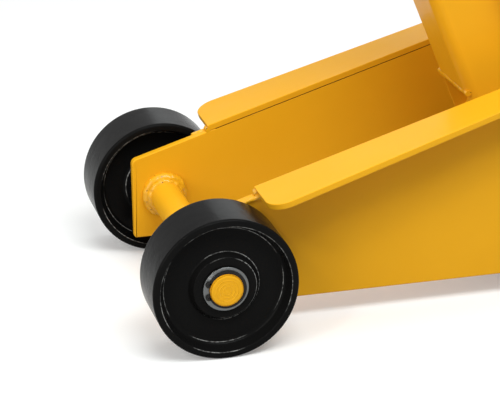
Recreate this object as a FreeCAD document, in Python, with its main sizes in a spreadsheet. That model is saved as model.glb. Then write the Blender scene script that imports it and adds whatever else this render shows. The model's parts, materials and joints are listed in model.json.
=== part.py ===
import FreeCAD, Part
import math
import os
import re
from types import SimpleNamespace
import Sketcher

# Long-chassis hydraulic trolley jack, in millimetres, +Z up, front at -X.
# The ground is z = 0 and the origin lies under the middle of the jack's overall box.
# Places along the jack are first given as distances behind the front axle; jack_x() turns
# such a distance into the frame's X. The near side is -Y and the far side mirrors it.

SIZES = {
    # front axle and wheels
    "wheel_radius": 55, "wheel_width": 45, "tread_rounding": 4.2, "rim_lip_radius": 50,
    "recess_radius": 44, "recess_depth": 10, "hub_foot_radius": 29, "hub_boss_radius": 23.7,
    "hub_setback": 4.7, "inner_hub_radius": 24, "axle_radius": 12.5,
    "axle_proud": 1, "axle_chamfer": 1, "running_gap": 0.05, "side_gap": 0.3,
    "washer_radius": 17.25, "washer_thickness": 2, "circlip_thickness": 1.5, "circlip_width": 2.9,
    "groove_depth": 0.8, "groove_slack": 0.2, "shaft_proud": 3, "circlip_opening": 8,
    "wheel_spacer": 6.8, "wheel_spacer_radius": 20,
    # side plates and their top flanges
    "plate_spacing": 138, "plate_thickness": 6.4, "plate_nose": 25, "plate_bottom": 19,
    "plate_front_top": 86, "top_rise": 17.2, "crest_x": 290, "crest_radius": 150,
    "plate_rear_x": 640, "plate_rear_top": 132, "kick_start_x": 500, "kick_end_x": 580,
    "kick_height": 48, "nose_lean": 1.2, "nose_rounding": 5, "toe_rounding": 2,
    "flange_width": 49.5, "flange_rear_width": 34, "flange_thickness": 5, "flange_start_x": 37.6,
    "flange_corner": 16,
    # lift arm
    "arm_pivot_x": 273, "arm_pivot_z": 130, "arm_length": 300, "arm_angle": 63.3,
    "arm_lowest": -7, "arm_highest": 70, "arm_width": 65, "arm_wall": 6, "arm_root_radius": 41.5,
    "arm_tip_radius": 21.5, "arm_bend": 9, "web_start": 46, "web_end": 274, "cover_start": 44,
    "cover_end": 236, "cover_thickness": 5, "cover_inset": 3, "pivot_radius": 15,
    "pivot_tube_radius": 24, "pivot_spacer_radius": 18.5, "horn_radius": 75,
    "horn_thickness": 10, "horn_root_radius": 30, "horn_tip_radius": 13, "push_roller_radius": 14,
    "push_roller_width": 30, "roller_pin_radius": 9, "yoke_pin_radius": 10,
    "yoke_pin_head": 5, "yoke_pin_rim": 4, "yoke_pin_tail": 6,
    # levelling linkage and saddle
    "level_x": 21, "level_z": 34, "level_pin_radius": 7, "pin_head": 4, "pin_rim": 3,
    "rod_half_width": 11,
    "rod_thickness": 6, "rod_y": 44, "yoke_width": 50, "yoke_boss_radius": 19,
    "yoke_lobe_radius": 12, "yoke_top": 46, "yoke_nose": 10, "yoke_front": 36, "yoke_rear": 33,
    "saddle_x": -6,
    "saddle_radius": 46, "saddle_thickness": 8, "saddle_lip_width": 11, "saddle_lip_height": 9,
    "saddle_notch": 26, "saddle_bevel": 6, "lip_slope": 3, "overcut": 5,
    "stem_radius": 11, "stem_length": 24,
    # hydraulic unit
    "ram_z": 64, "rod_radius": 16, "bore_radius": 20, "cylinder_wall": 9, "tank_radius": 45,
    "tank_wall": 4, "gland_x": 362, "gland_thickness": 14, "gland_radius": 47, "gland_chamfer": 4,
    "block_x": 500, "block_length": 60,
    "block_bottom": 28, "block_top": 108, "block_chamfer": 12, "cylinder_seat": 12,
    "cylinder_base": 6, "piston_length": 24, "piston_margin": 3, "piston_gap": 0.05,
    "seal_width": 5, "seal_depth": 3, "head_length": 24, "head_height": 44, "head_width": 28,
    "head_chamfer": 6, "rod_chamfer": 1.5, "hook_gap": 3, "anchor_inset": 4,
    "bar_radius": 6, "bar_reach": 62, "spring_y": 56, "spring_radius": 8, "spring_wire": 2.5,
    "spring_anchor_x": 450, "anchor_radius": 5, "plug_x": 440, "plug_radius": 6,
    "plug_head_radius": 9, "plug_head_height": 4.5, "unit_bolt_radius": 6,
    "bolt_inset": 14, "bolt_edge": 16, "rear_bolt_z": 66, "bolt_end_gap": 2,
    "unit_bolt_clearance": 0.5, "unit_bolt_head": 8, "unit_bolt_across": 19,
    "unit_bolt_depth": 22, "tie_x": 410, "tie_z": 146, "tie_radius": 17, "tie_wall": 4,
    # handle, socket and pump
    "handle_x": 615, "handle_z": 118, "handle_angle": 58, "handle_stroke": 40,
    "handle_reach": 784, "handle_radius": 16.85, "handle_wall": 3, "handle_start": 30,
    "grip_start": 640, "grip_wall": 3.5, "grip_end": 4, "socket_start": 26, "socket_end": 150,
    "socket_gap": 0.2, "socket_wall": 7, "cheek_thickness": 8, "cheek_root_radius": 18,
    "cheek_end_radius": 20, "cheek_length": 100, "handle_pin_radius": 10,
    "handle_pin_head": 15, "handle_pin_head_height": 6, "handle_spacer_wall": 5,
    "nose_radius": 45, "nose_tip_radius": 9, "nose_roller_radius": 10, "nose_roller_width": 30,
    "nose_pin_radius": 6, "pump_z": 75, "plunger_radius": 8, "plunger_cap_radius": 14,
    "plunger_cap_length": 8, "plunger_inside": 10, "plunger_end_gap": 1.5,
    "plunger_chamfer": 2, "pump_spring_radius": 12.5,
    "pump_spring_wire": 3, "clamp_at": 120, "clamp_radius": 5, "clamp_head_radius": 9,
    "clamp_head_height": 7, "clamp_stand": 8,
    # release valve
    "valve_y": 43, "valve_z": 50, "valve_radius": 5, "valve_nut_across": 22,
    "valve_nut_length": 9, "valve_length": 42, "valve_inside": 20, "valve_end_gap": 2,
    "tommy_radius": 3.5,
    "tommy_reach": 21, "tommy_from_end": 7,
    # rear casters
    "caster_x": 590, "caster_y": 138, "caster_radius": 32, "caster_width": 24,
    "caster_trail": 25, "caster_bore": 5, "caster_hub_radius": 11, "caster_side_gap": 3,
    "caster_recess": 4, "caster_rim": 24, "fork_wall": 4, "fork_front": 21, "fork_foot": 11,
    "fork_back": 4, "fork_skirt": 10, "caster_draft": 1, "caster_crown": 2, "caster_shoulder": 3,
    "shelf_half_width": 25, "axle_bolt_head": 3.5, "axle_bolt_rim": 3.5, "axle_nut": 4.5,
    "axle_nut_rim": 4,
    "fork_top_z": 79.7, "race_radius": 22, "race_thickness": 4, "kingpin_radius": 8,
    "kingpin_head_radius": 13, "kingpin_head_height": 4.5, "kingpin_rise": 13,
    "kingpin_nut_across": 24, "kingpin_nut_height": 9, "outrigger_thickness": 8,
    "outrigger_front": 46, "outrigger_reach": 28, "outrigger_corner": 22, "gusset_rise": 26,
    "gusset_thickness": 6, "gusset_reach": 46,
}

S = SimpleNamespace(**SIZES)
ON_SIDE = FreeCAD.Rotation(FreeCAD.Vector(1, 0, 0), 90)      # local z becomes -Y
ALONG = FreeCAD.Rotation(FreeCAD.Vector(0, 1, 0), 90)        # local z becomes +X
UPRIGHT = FreeCAD.Rotation()

doc = FreeCAD.newDocument("trolley_jack")
nodes = {}


# ---- the sheet and the helpers ----

def make_sheet():
    """Write every size into the sheet, one aliased cell each."""
    sheet = doc.addObject("Spreadsheet::Sheet", "sizes")
    for row, (alias, number) in enumerate(SIZES.items(), start=1):
        sheet.set(f"A{row}", alias)
        sheet.set(f"B{row}", str(number))
        sheet.setAlias(f"B{row}", alias)
    doc.recompute()


def bound(words):
    """Point each size named in an expression at its cell."""
    return re.sub(r"[a-z_]+", lambda m: f"sizes.{m[0]}" if m[0] in SIZES else m[0], str(words))


def bind(thing, **expressions):
    """Bind properties of an object to expressions in the sheet's sizes."""
    for name, words in expressions.items():
        thing.setExpression(name, bound(words))


def number(text):
    """A number written so that an expression can hold it, negative or not."""
    return f"({text:.9f})"


def jack_x(behind_axle):
    """Turn a distance behind the front axle into the frame's X."""
    handle = math.radians(S.handle_angle)
    grip = S.handle_radius + S.grip_wall
    rear = S.handle_x + S.handle_reach * math.cos(handle) + grip * math.sin(handle)
    return behind_axle - (rear - S.wheel_radius) / 2


def place(thing, x, y, z, turn=UPRIGHT):
    """Place an object, x counted from the front axle."""
    thing.Placement = FreeCAD.Placement(FreeCAD.Vector(jack_x(x), y, z), turn)
    return thing


def node(name, thing):
    """Name an object as a sub-part of the jack."""
    thing.Label = name
    nodes[name] = thing
    return thing


def sketch_on(body, name, role="XY_Plane"):
    """An empty sketch on one of a body's own planes."""
    sketch = body.newObject("Sketcher::SketchObject", f"{name}_sketch")
    flat = next(f for f in body.Origin.OriginFeatures if f.Role == role)
    sketch.AttachmentSupport = [(flat, "")]
    sketch.MapMode = "FlatFace"
    return sketch


def new_sketch(name):
    """A body with an empty sketch on its own XY plane."""
    body = doc.addObject("PartDesign::Body", f"{name}_body")
    return body, sketch_on(body, name)


def pin_point(sketch, geometry, end, x_words, y_words):
    """Hold one point of a sketch at a place given by expressions."""
    for kind, words in (("DistanceX", x_words), ("DistanceY", y_words)):
        index = sketch.addConstraint(Sketcher.Constraint(kind, -1, 1, geometry, end, 1.0))
        sketch.renameConstraint(index, f"{kind}_{geometry}_{end}")
        sketch.setExpression(f"Constraints.{kind}_{geometry}_{end}", bound(words))


def draw_outline(sketch, points):
    """Draw a closed outline of straight runs through points given by expressions."""
    first = sketch.GeometryCount
    count = len(points)
    start = [FreeCAD.Vector(math.cos(i * math.tau / count), math.sin(i * math.tau / count), 0)
             for i in range(count)]
    for i in range(count):
        sketch.addGeometry(Part.LineSegment(start[i] * 50, start[(i + 1) % count] * 50))
    for i in range(count):
        here, following = first + i, first + (i + 1) % count
        sketch.addConstraint(Sketcher.Constraint("Coincident", here, 2, following, 1))
    for i, (x_words, y_words) in enumerate(points):
        pin_point(sketch, first + i, 1, x_words, y_words)


def draw_hole(sketch, x_words, y_words, radius_words):
    """Draw a circle in a sketch; inside an outline it becomes a hole."""
    circle = Part.Circle(FreeCAD.Vector(1, 1, 0), FreeCAD.Vector(0, 0, 1), 5)
    index = sketch.addGeometry(circle)
    pin_point(sketch, index, 3, x_words, y_words)
    held = sketch.addConstraint(Sketcher.Constraint("Radius", index, 5))
    sketch.renameConstraint(held, f"radius_{index}")
    sketch.setExpression(f"Constraints.radius_{index}", bound(radius_words))


def draw_strap(sketch, length, start_radius, end_radius):
    """Draw a strap: two round ends of named radii joined by tangent lines."""
    far, near_r, far_r = SIZES[length], SIZES[start_radius], SIZES[end_radius]
    lean = math.asin((near_r - far_r) / far)
    up = FreeCAD.Vector(math.sin(lean), math.cos(lean), 0)
    down = FreeCAD.Vector(up.x, -up.y, 0)
    end = FreeCAD.Vector(far, 0, 0)
    back, front = FreeCAD.Vector(-near_r, 0, 0), FreeCAD.Vector(far + far_r, 0, 0)
    sketch.addGeometry(Part.Arc(up * near_r, back, down * near_r))
    sketch.addGeometry(Part.LineSegment(down * near_r, end + down * far_r))
    sketch.addGeometry(Part.Arc(end + down * far_r, front, end + up * far_r))
    sketch.addGeometry(Part.LineSegment(end + up * far_r, up * near_r))
    for arc, line, arc_end, line_end in ((0, 1, 2, 1), (2, 1, 1, 2), (2, 3, 2, 1), (0, 3, 1, 2)):
        sketch.addConstraint(Sketcher.Constraint("Tangent", arc, arc_end, line, line_end))
    for arc, place_words, words in ((0, "0", start_radius), (2, length, end_radius)):
        pin_point(sketch, arc, 3, place_words, "0")
        held = sketch.addConstraint(Sketcher.Constraint("Radius", arc, SIZES[words]))
        sketch.renameConstraint(held, f"strap_{arc}")
        sketch.setExpression(f"Constraints.strap_{arc}", bound(words))


def padded(name, body, sketch, thickness, middle=False):
    """Pad a sketch to a thickness, upward or about its middle."""
    pad = body.newObject("PartDesign::Pad", f"{name}_pad")
    pad.Profile = sketch
    pad.Midplane = middle
    bind(pad, Length=thickness)
    doc.recompute()
    return pad


def pocketed(name, body, points, role, length):
    """Cut an outline out of a body, both ways from one of the body's planes."""
    sketch = sketch_on(body, name, role)
    draw_outline(sketch, points)
    pocket = body.newObject("PartDesign::Pocket", f"{name}_pocket")
    pocket.Profile = sketch
    pocket.Midplane = True
    bind(pocket, Length=length)
    doc.recompute()


def plate(name, points, thickness, holes=(), middle=False):
    """A flat plate of a straight-sided outline with round holes."""
    body, sketch = new_sketch(name)
    draw_outline(sketch, points)
    for hole in holes:
        draw_hole(sketch, *hole)
    padded(name, body, sketch, thickness, middle)
    return body


def strap(name, length, start_radius, end_radius, thickness, holes=()):
    """A flat bar with round ends and holes."""
    body, sketch = new_sketch(name)
    draw_strap(sketch, length, start_radius, end_radius)
    for hole in holes:
        draw_hole(sketch, *hole)
    padded(name, body, sketch, thickness)
    return body


def rounded(body, radius, wanted):
    """Round the edges of a body that a test picks out."""
    found = [f"Edge{i}" for i, edge in enumerate(body.Tip.Shape.Edges, start=1) if wanted(edge)]
    if not found:
        raise ValueError(f"{body.Name}: no edge to round")
    last = body.Tip
    fillet = body.newObject("PartDesign::Fillet", f"{body.Name}_round")
    fillet.Base = (last, found)
    bind(fillet, Radius=radius)
    doc.recompute()
    return body


def ends(edge):
    """The two end points of an edge, which are one point on a circle."""
    return [vertex.Point for vertex in edge.Vertexes]


def at_point(x, y):
    """A test for edges that stand on one point of the sketch."""
    return lambda edge: all(math.hypot(p.x - x, p.y - y) < 0.01 for p in ends(edge))


def on_circle(radius):
    """A test for the full circles of a turned piece that have one radius."""
    return lambda edge: (isinstance(edge.Curve, Part.Circle)
                         and abs(edge.Curve.Radius - radius) < 0.01)


def turned(name, profile):
    """A turned piece; the profile holds (radius, height) pairs round its half section."""
    body, sketch = new_sketch(name)
    draw_outline(sketch, profile)
    turn = body.newObject("PartDesign::Revolution", f"{name}_turn")
    turn.Profile = sketch
    turn.ReferenceAxis = (sketch, ["V_Axis"])
    turn.Angle = 360
    doc.recompute()
    return body


def standing(thing, x, y, z, turn=UPRIGHT):
    """Place a turned piece, whose own axis is Y, so that the axis follows local z."""
    upright = FreeCAD.Rotation(FreeCAD.Vector(1, 0, 0), 90)
    return place(thing, x, y, z, turn.multiply(upright))


def box(name, length, width, height):
    """A plain block with one corner at its own origin."""
    block = doc.addObject("Part::Box", name)
    bind(block, Length=length, Width=width, Height=height)
    return block


def cylinder(name, radius, height):
    """A plain cylinder along its own z."""
    rod = doc.addObject("Part::Cylinder", name)
    bind(rod, Radius=radius, Height=height)
    return rod


def hexagon(name, across, height):
    """A hexagonal prism of a named width across its flats."""
    prism = doc.addObject("Part::Prism", name)
    prism.Polygon = 6
    bind(prism, Circumradius=f"{across}/2/cos(30)", Height=height)
    return prism


def fused(name, pieces):
    """Several objects as one solid."""
    union = doc.addObject("Part::MultiFuse", name)
    union.Shapes = pieces
    union.Refine = True
    return union


def cut(name, base, tools):
    """An object with others taken out of it."""
    taken = doc.addObject("Part::Cut", name)
    taken.Base = base
    taken.Tool = tools[0] if len(tools) == 1 else fused(f"{name}_tools", tools)
    return taken


def mirrored(name, source):
    """The far side's copy of a near-side object."""
    copy = doc.addObject("Part::Mirroring", name)
    copy.Source = source
    copy.Base = FreeCAD.Vector(0, 0, 0)
    copy.Normal = FreeCAD.Vector(0, 1, 0)
    return copy


def group(name, pieces):
    """Alike solids that share one node."""
    together = doc.addObject("Part::Compound", name)
    together.Links = pieces
    return together


def both_sides(name, source):
    """One node holding a near-side solid and its far-side copy."""
    return node(name, group(f"{name}_pair", [source, mirrored(f"{name}_far", source)]))


def near_and_far(name, source):
    """Two nodes: the near-side object and its far-side copy."""
    node(f"near_{name}", source)
    return node(f"far_{name}", mirrored(f"far_{name}_mirror", source))


def pin(name, radius, start, end, head_radius=None, head_height=None):
    """A round pin along local z, with a flat head past its end where one is named."""
    profile = [("0", start), (radius, start), (radius, end)]
    if head_radius:
        profile += [(head_radius, end), (head_radius, f"{end}+{head_height}")]
        profile += [("0", f"{end}+{head_height}")]
    else:
        profile += [("0", end)]
    return turned(name, profile)


def ring(name, inner, outer, start, end):
    """A plain ring or tube along local z."""
    return turned(name, [(inner, start), (outer, start), (outer, end), (inner, end)])


# ---- front axle and wheels ----

PLATE_OUT = "plate_spacing/2+plate_thickness"
WHEEL_IN = f"{PLATE_OUT}+wheel_spacer+side_gap"
WHEEL_OUT = f"{WHEEL_IN}+wheel_width"
HUB_OUT = f"{WHEEL_OUT}-hub_setback"
WASHER_OUT = f"{HUB_OUT}+side_gap+washer_thickness"
GROOVE_OUT = f"{WASHER_OUT}+circlip_thickness+groove_slack"
WHEEL_BORE = "axle_radius+running_gap"
CHEEK_IN = "handle_radius+socket_gap+socket_wall"
CHEEK_OUT = f"{CHEEK_IN}+cheek_thickness"


def make_front_axle():
    """The round axle across both side plates, grooved for a circlip at each end."""
    end, groove = f"{WHEEL_OUT}+axle_proud", "axle_radius-groove_depth"
    half = [("0", end), ("axle_radius-axle_chamfer", end), ("axle_radius", f"{end}-axle_chamfer"),
            ("axle_radius", GROOVE_OUT), (groove, GROOVE_OUT), (groove, WASHER_OUT),
            ("axle_radius", WASHER_OUT)]
    other = [(radius, f"-({height})") for radius, height in reversed(half)]
    axle = turned("front_axle", half + other)
    node("front_axle", standing(axle, 0, 0, S.wheel_radius, ON_SIDE))


def make_front_wheels():
    """Two cast wheels, hollowed on both faces round a hub."""
    floor_in, floor_out = f"{WHEEL_IN}+recess_depth", f"{WHEEL_OUT}-recess_depth"
    profile = [(WHEEL_BORE, WHEEL_IN), ("inner_hub_radius", WHEEL_IN),
               ("hub_foot_radius", floor_in), ("recess_radius", floor_in),
               ("rim_lip_radius", WHEEL_IN), ("wheel_radius", WHEEL_IN),
               ("wheel_radius", WHEEL_OUT), ("rim_lip_radius", WHEEL_OUT),
               ("recess_radius", floor_out), ("hub_foot_radius", floor_out),
               ("hub_boss_radius", HUB_OUT), (WHEEL_BORE, HUB_OUT)]
    wheel = turned("front_wheel", profile)
    rounded(wheel, "tread_rounding", on_circle(S.wheel_radius))
    near_and_far("front_wheel", standing(wheel, 0, 0, S.wheel_radius, ON_SIDE))


def make_axle_fittings():
    """The spacers inside the front wheels and the washers outside them."""
    spacer = ring("wheel_spacer_ring", "axle_radius", "wheel_spacer_radius", PLATE_OUT,
                  f"{PLATE_OUT}+wheel_spacer")
    both_sides("wheel_spacers", standing(spacer, 0, 0, S.wheel_radius, ON_SIDE))
    washer = ring("washer_ring", "axle_radius", "washer_radius",
                  f"{WASHER_OUT}-washer_thickness", WASHER_OUT)
    both_sides("wheel_washers", standing(washer, 0, 0, S.wheel_radius, ON_SIDE))


def make_shaft_circlips():
    """The open rings on the front axle and the whole rings on the pivot shaft."""
    inner = "axle_radius-groove_depth"
    whole = ring("axle_circlip", inner, f"{inner}+circlip_width", WASHER_OUT,
                 f"{WASHER_OUT}+circlip_thickness")
    standing(whole, 0, 0, S.wheel_radius, ON_SIDE)
    opening = box("circlip_opening_cut", "axle_radius*2", "wheel_width", "circlip_opening")
    hub_out = (S.plate_spacing / 2 + S.plate_thickness + S.wheel_spacer + S.side_gap
               + S.wheel_width - S.hub_setback)
    place(opening, -S.axle_radius * 2, -hub_out - S.wheel_width / 2,
          S.wheel_radius - S.circlip_opening / 2)
    groove = "pivot_radius-groove_depth"
    clip = ring("pivot_circlip", groove, f"{groove}+circlip_width", f"{PLATE_OUT}+side_gap",
                f"{PLATE_OUT}+side_gap+circlip_thickness")
    standing(clip, S.arm_pivot_x, 0, S.arm_pivot_z, ON_SIDE)
    both_sides("shaft_circlips", group("circlip_set", [cut("circlip", whole, [opening]), clip]))


def make_pivot_spacers():
    """Tubes that keep the lift arm and the handle socket centred between the plates."""
    arm = ring("arm_spacer", "pivot_radius", "pivot_spacer_radius", "arm_width/2+side_gap*2",
               "plate_spacing/2")
    standing(arm, S.arm_pivot_x, 0, S.arm_pivot_z, ON_SIDE)
    handle = ring("handle_spacer", "handle_pin_radius", "handle_pin_radius+handle_spacer_wall",
                  f"{CHEEK_OUT}+side_gap", "plate_spacing/2")
    standing(handle, S.handle_x, 0, S.handle_z, ON_SIDE)
    both_sides("pivot_spacer_tubes", group("spacer_set", [arm, handle]))


# ---- frame ----

TOP_AT_CREST = "plate_front_top+(crest_x+plate_nose)*tan(top_rise)"
CREST_Z = S.plate_front_top + (S.crest_x + S.plate_nose) * math.tan(math.radians(S.top_rise))
FALL = math.degrees(math.atan2(CREST_Z - S.plate_rear_top, S.plate_rear_x - S.crest_x))


def make_side_plates():
    """The two plates that carry everything, kicked up over the casters at the rear."""
    outline = [("-plate_nose", "plate_bottom"), ("kick_start_x", "plate_bottom"),
               ("kick_end_x", "kick_height"), ("plate_rear_x", "kick_height"),
               ("plate_rear_x", "plate_rear_top"), ("crest_x", TOP_AT_CREST),
               ("-plate_nose-nose_lean", "plate_front_top-nose_lean*tan(top_rise)")]
    holes = [("0", "wheel_radius", "axle_radius"),
             ("arm_pivot_x", "arm_pivot_z", "pivot_radius"),
             ("arm_pivot_x+level_x", "arm_pivot_z+level_z", "level_pin_radius"),
             ("handle_x", "handle_z", "handle_pin_radius")]
    for x_words, z_words in UNIT_BOLTS:
        holes.append((x_words, z_words, "unit_bolt_radius+unit_bolt_clearance"))
    side = plate("side_plate", outline, "plate_thickness", holes)
    rounded(side, "crest_radius", at_point(S.crest_x, CREST_Z))
    lean_drop = S.nose_lean * math.tan(math.radians(S.top_rise))
    rounded(side, "nose_rounding",
            at_point(-S.plate_nose - S.nose_lean, S.plate_front_top - lean_drop))
    rounded(side, "toe_rounding", at_point(-S.plate_nose, S.plate_bottom))
    near_and_far("side_plate", place(side, 0, -S.plate_spacing / 2, 0, ON_SIDE))


def make_top_flanges():
    """The flat bars along the top edges, wider at the front and tapered to the crest."""
    fall = number(FALL)
    start_z = "plate_front_top+(flange_start_x+plate_nose)*tan(top_rise)"
    share = f"flange_thickness/(1+cos(top_rise+{fall}))"
    outline = [("flange_start_x", start_z), ("crest_x", TOP_AT_CREST),
               ("plate_rear_x", "plate_rear_top"),
               (f"plate_rear_x+flange_thickness*sin({fall})",
                f"plate_rear_top+flange_thickness*cos({fall})"),
               (f"crest_x+{share}*(sin({fall})-sin(top_rise))",
                f"{TOP_AT_CREST}+{share}*(cos({fall})+cos(top_rise))"),
               ("flange_start_x-flange_thickness*sin(top_rise)",
                f"{start_z}+flange_thickness*cos(top_rise)")]
    bar = plate("top_flange", outline, "flange_width")
    rounded(bar, "crest_radius", at_point(S.crest_x, CREST_Z))
    upper = bar.Tip.Shape.Vertexes
    crest = max(upper, key=lambda v: v.Point.y - abs(v.Point.x - S.crest_x)).Point
    rounded(bar, "crest_radius+flange_thickness", at_point(crest.x, crest.y))
    spare, past = "flange_width+flange_thickness", "plate_rear_x+flange_width"
    pocketed("flange_taper", bar, [("0", "flange_width"), ("crest_x", "flange_rear_width"),
                                   (past, "flange_rear_width"), (past, spare), ("0", spare)],
             "XZ_Plane", f"({TOP_AT_CREST})*3")
    front, outer = S.flange_start_x + 0.5, S.flange_rear_width
    rounded(bar, "flange_corner",
            lambda edge: all(p.x < front and p.z > outer for p in ends(edge)))
    near_and_far("top_flange", place(bar, 0, -S.plate_spacing / 2, 0, ON_SIDE))


def make_tie_tube():
    """The tube that ties the side plates together behind the lift arm."""
    tube = ring("tie_tube", "tie_radius-tie_wall", "tie_radius", "-plate_spacing/2",
                "plate_spacing/2")
    node("frame_tie_tube", standing(tube, S.tie_x, 0, S.tie_z, ON_SIDE))


# ---- lift arm ----

ARM = FreeCAD.Rotation(FreeCAD.Vector(0, 1, 0), S.arm_angle).multiply(
    FreeCAD.Rotation(FreeCAD.Vector(-1, 0, 0), FreeCAD.Vector(0, 0, 1),
                     FreeCAD.Vector(0, 1, 0), "ZXY"))
ARM_DIRECTION = FreeCAD.Vector(-math.cos(math.radians(S.arm_angle)), 0,
                               math.sin(math.radians(S.arm_angle)))
TIP_X = S.arm_pivot_x + S.arm_length * ARM_DIRECTION.x
TIP_Z = S.arm_pivot_z + S.arm_length * ARM_DIRECTION.z
HORN_SWING = (S.arm_highest - S.arm_lowest) / 2
HORN_NOW = S.arm_highest - S.arm_angle - HORN_SWING


def on_arm(thing, across):
    """Place an object drawn in the arm's own plane, a distance across it."""
    return place(thing, S.arm_pivot_x, across, S.arm_pivot_z, ARM)


def make_arm_channel():
    """The tapering arm: two cheeks joined by a web along the front."""
    body, sketch = new_sketch("arm_channel")
    draw_strap(sketch, "arm_length", "arm_root_radius", "arm_tip_radius")
    draw_hole(sketch, "0", "0", "pivot_tube_radius")
    draw_hole(sketch, "arm_length", "0", "yoke_pin_radius")
    padded("arm_channel", body, sketch, "arm_width", middle=True)
    lean = math.asin((S.arm_root_radius - S.arm_tip_radius) / S.arm_length)
    low = -S.arm_tip_radius * 0.9
    rounded(body, "arm_bend",
            lambda edge: all(p.y < low for p in ends(edge))
            and edge.Length > S.arm_length * 0.8)
    slope = number(math.tan(lean))
    depth = f"arm_root_radius/cos({number(math.degrees(lean))})"
    floor = [(at, f"-({depth}-{at}*{slope})+arm_wall") for at in ("web_start", "web_end")]
    reach = "arm_root_radius*1.5"
    pocketed("arm_hollow", body, [
        (f"-{reach}", f"-{reach}"), ("web_start", f"-{reach}"), floor[0], floor[1],
        ("web_end", f"-{reach}"), (f"arm_length+{reach}", f"-{reach}"),
        (f"arm_length+{reach}", reach), (f"-{reach}", reach)], "XY_Plane",
        "arm_width-arm_wall*2")
    node("arm_channel", on_arm(body, 0))


def make_arm_cover():
    """The flat cover that closes the arm's rear side."""
    lean = math.asin((S.arm_root_radius - S.arm_tip_radius) / S.arm_length)
    slope = number(math.tan(lean))
    depth = f"arm_root_radius/cos({number(math.degrees(lean))})"
    tops = [(at, f"{depth}-{at}*{slope}-cover_inset") for at in ("cover_start", "cover_end")]
    unders = [(at, f"{words}-cover_thickness") for at, words in reversed(tops)]
    cover = plate("arm_cover", unders + tops, "arm_width-arm_wall*2", middle=True)
    node("arm_cover", on_arm(cover, 0))


def make_arm_pivot():
    """The tube welded into the arm's root and the shaft that it turns on."""
    tube = ring("pivot_tube", "pivot_radius+running_gap", "pivot_tube_radius", "-arm_width/2",
                "arm_width/2")
    node("arm_pivot_tube", standing(tube, S.arm_pivot_x, 0, S.arm_pivot_z, ON_SIDE))
    out, end = f"{PLATE_OUT}+side_gap", f"{PLATE_OUT}+side_gap+circlip_thickness"
    groove = "pivot_radius-groove_depth"
    half = [("0", f"{end}+shaft_proud"), ("pivot_radius-axle_chamfer", f"{end}+shaft_proud"),
            ("pivot_radius", f"{end}+shaft_proud-axle_chamfer"),
            ("pivot_radius", f"{end}+groove_slack"), (groove, f"{end}+groove_slack"),
            (groove, out), ("pivot_radius", out)]
    other = [(radius, f"-({height})") for radius, height in reversed(half)]
    shaft = turned("pivot_shaft", half + other)
    node("arm_pivot_shaft", standing(shaft, S.arm_pivot_x, 0, S.arm_pivot_z, ON_SIDE))


def make_horn():
    """The two cheeks inside the arm that carry the roller pushed by the ram."""
    cheek = strap("horn_cheek", "horn_radius", "horn_root_radius", "horn_tip_radius",
                  "horn_thickness", [("0", "0", "pivot_tube_radius"),
                                     ("horn_radius", "0", "roller_pin_radius")])
    turn = FreeCAD.Rotation(FreeCAD.Vector(0, 1, 0), 90 - HORN_NOW).multiply(ON_SIDE)
    outer = S.arm_width / 2 - S.arm_wall
    place(cheek, S.arm_pivot_x, -(outer - S.horn_thickness), S.arm_pivot_z, turn)
    both_sides("arm_horn_cheeks", cheek)
    x, z = horn_pin_place()
    spindle = pin("roller_pin_body", "roller_pin_radius", "-(arm_width/2-arm_wall)",
                  "arm_width/2-arm_wall")
    node("push_roller_pin", standing(spindle, x, 0, z, ON_SIDE))
    roller = ring("push_roller_body", "roller_pin_radius+running_gap", "push_roller_radius",
                  "-push_roller_width/2", "push_roller_width/2")
    node("push_roller", standing(roller, x, 0, z, ON_SIDE))


def horn_pin_place():
    """Where the horn's roller pin stands in the modelled pose."""
    swing = math.radians(HORN_NOW)
    return (S.arm_pivot_x + S.horn_radius * math.sin(swing),
            S.arm_pivot_z - S.horn_radius * math.cos(swing))


def make_yoke_pin():
    """The headed pin that carries the saddle yoke at the arm's tip."""
    spindle = turned("yoke_pin_body", [
        ("0", "-(arm_width/2+yoke_pin_head)"),
        ("yoke_pin_radius+yoke_pin_rim", "-(arm_width/2+yoke_pin_head)"),
        ("yoke_pin_radius+yoke_pin_rim", "-(arm_width/2+side_gap)"),
        ("yoke_pin_radius", "-(arm_width/2+side_gap)"),
        ("yoke_pin_radius", "arm_width/2+yoke_pin_tail"),
        ("0", "arm_width/2+yoke_pin_tail")])
    node("yoke_pin", standing(spindle, TIP_X, 0, TIP_Z, ON_SIDE))


# ---- levelling linkage and saddle ----

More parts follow.
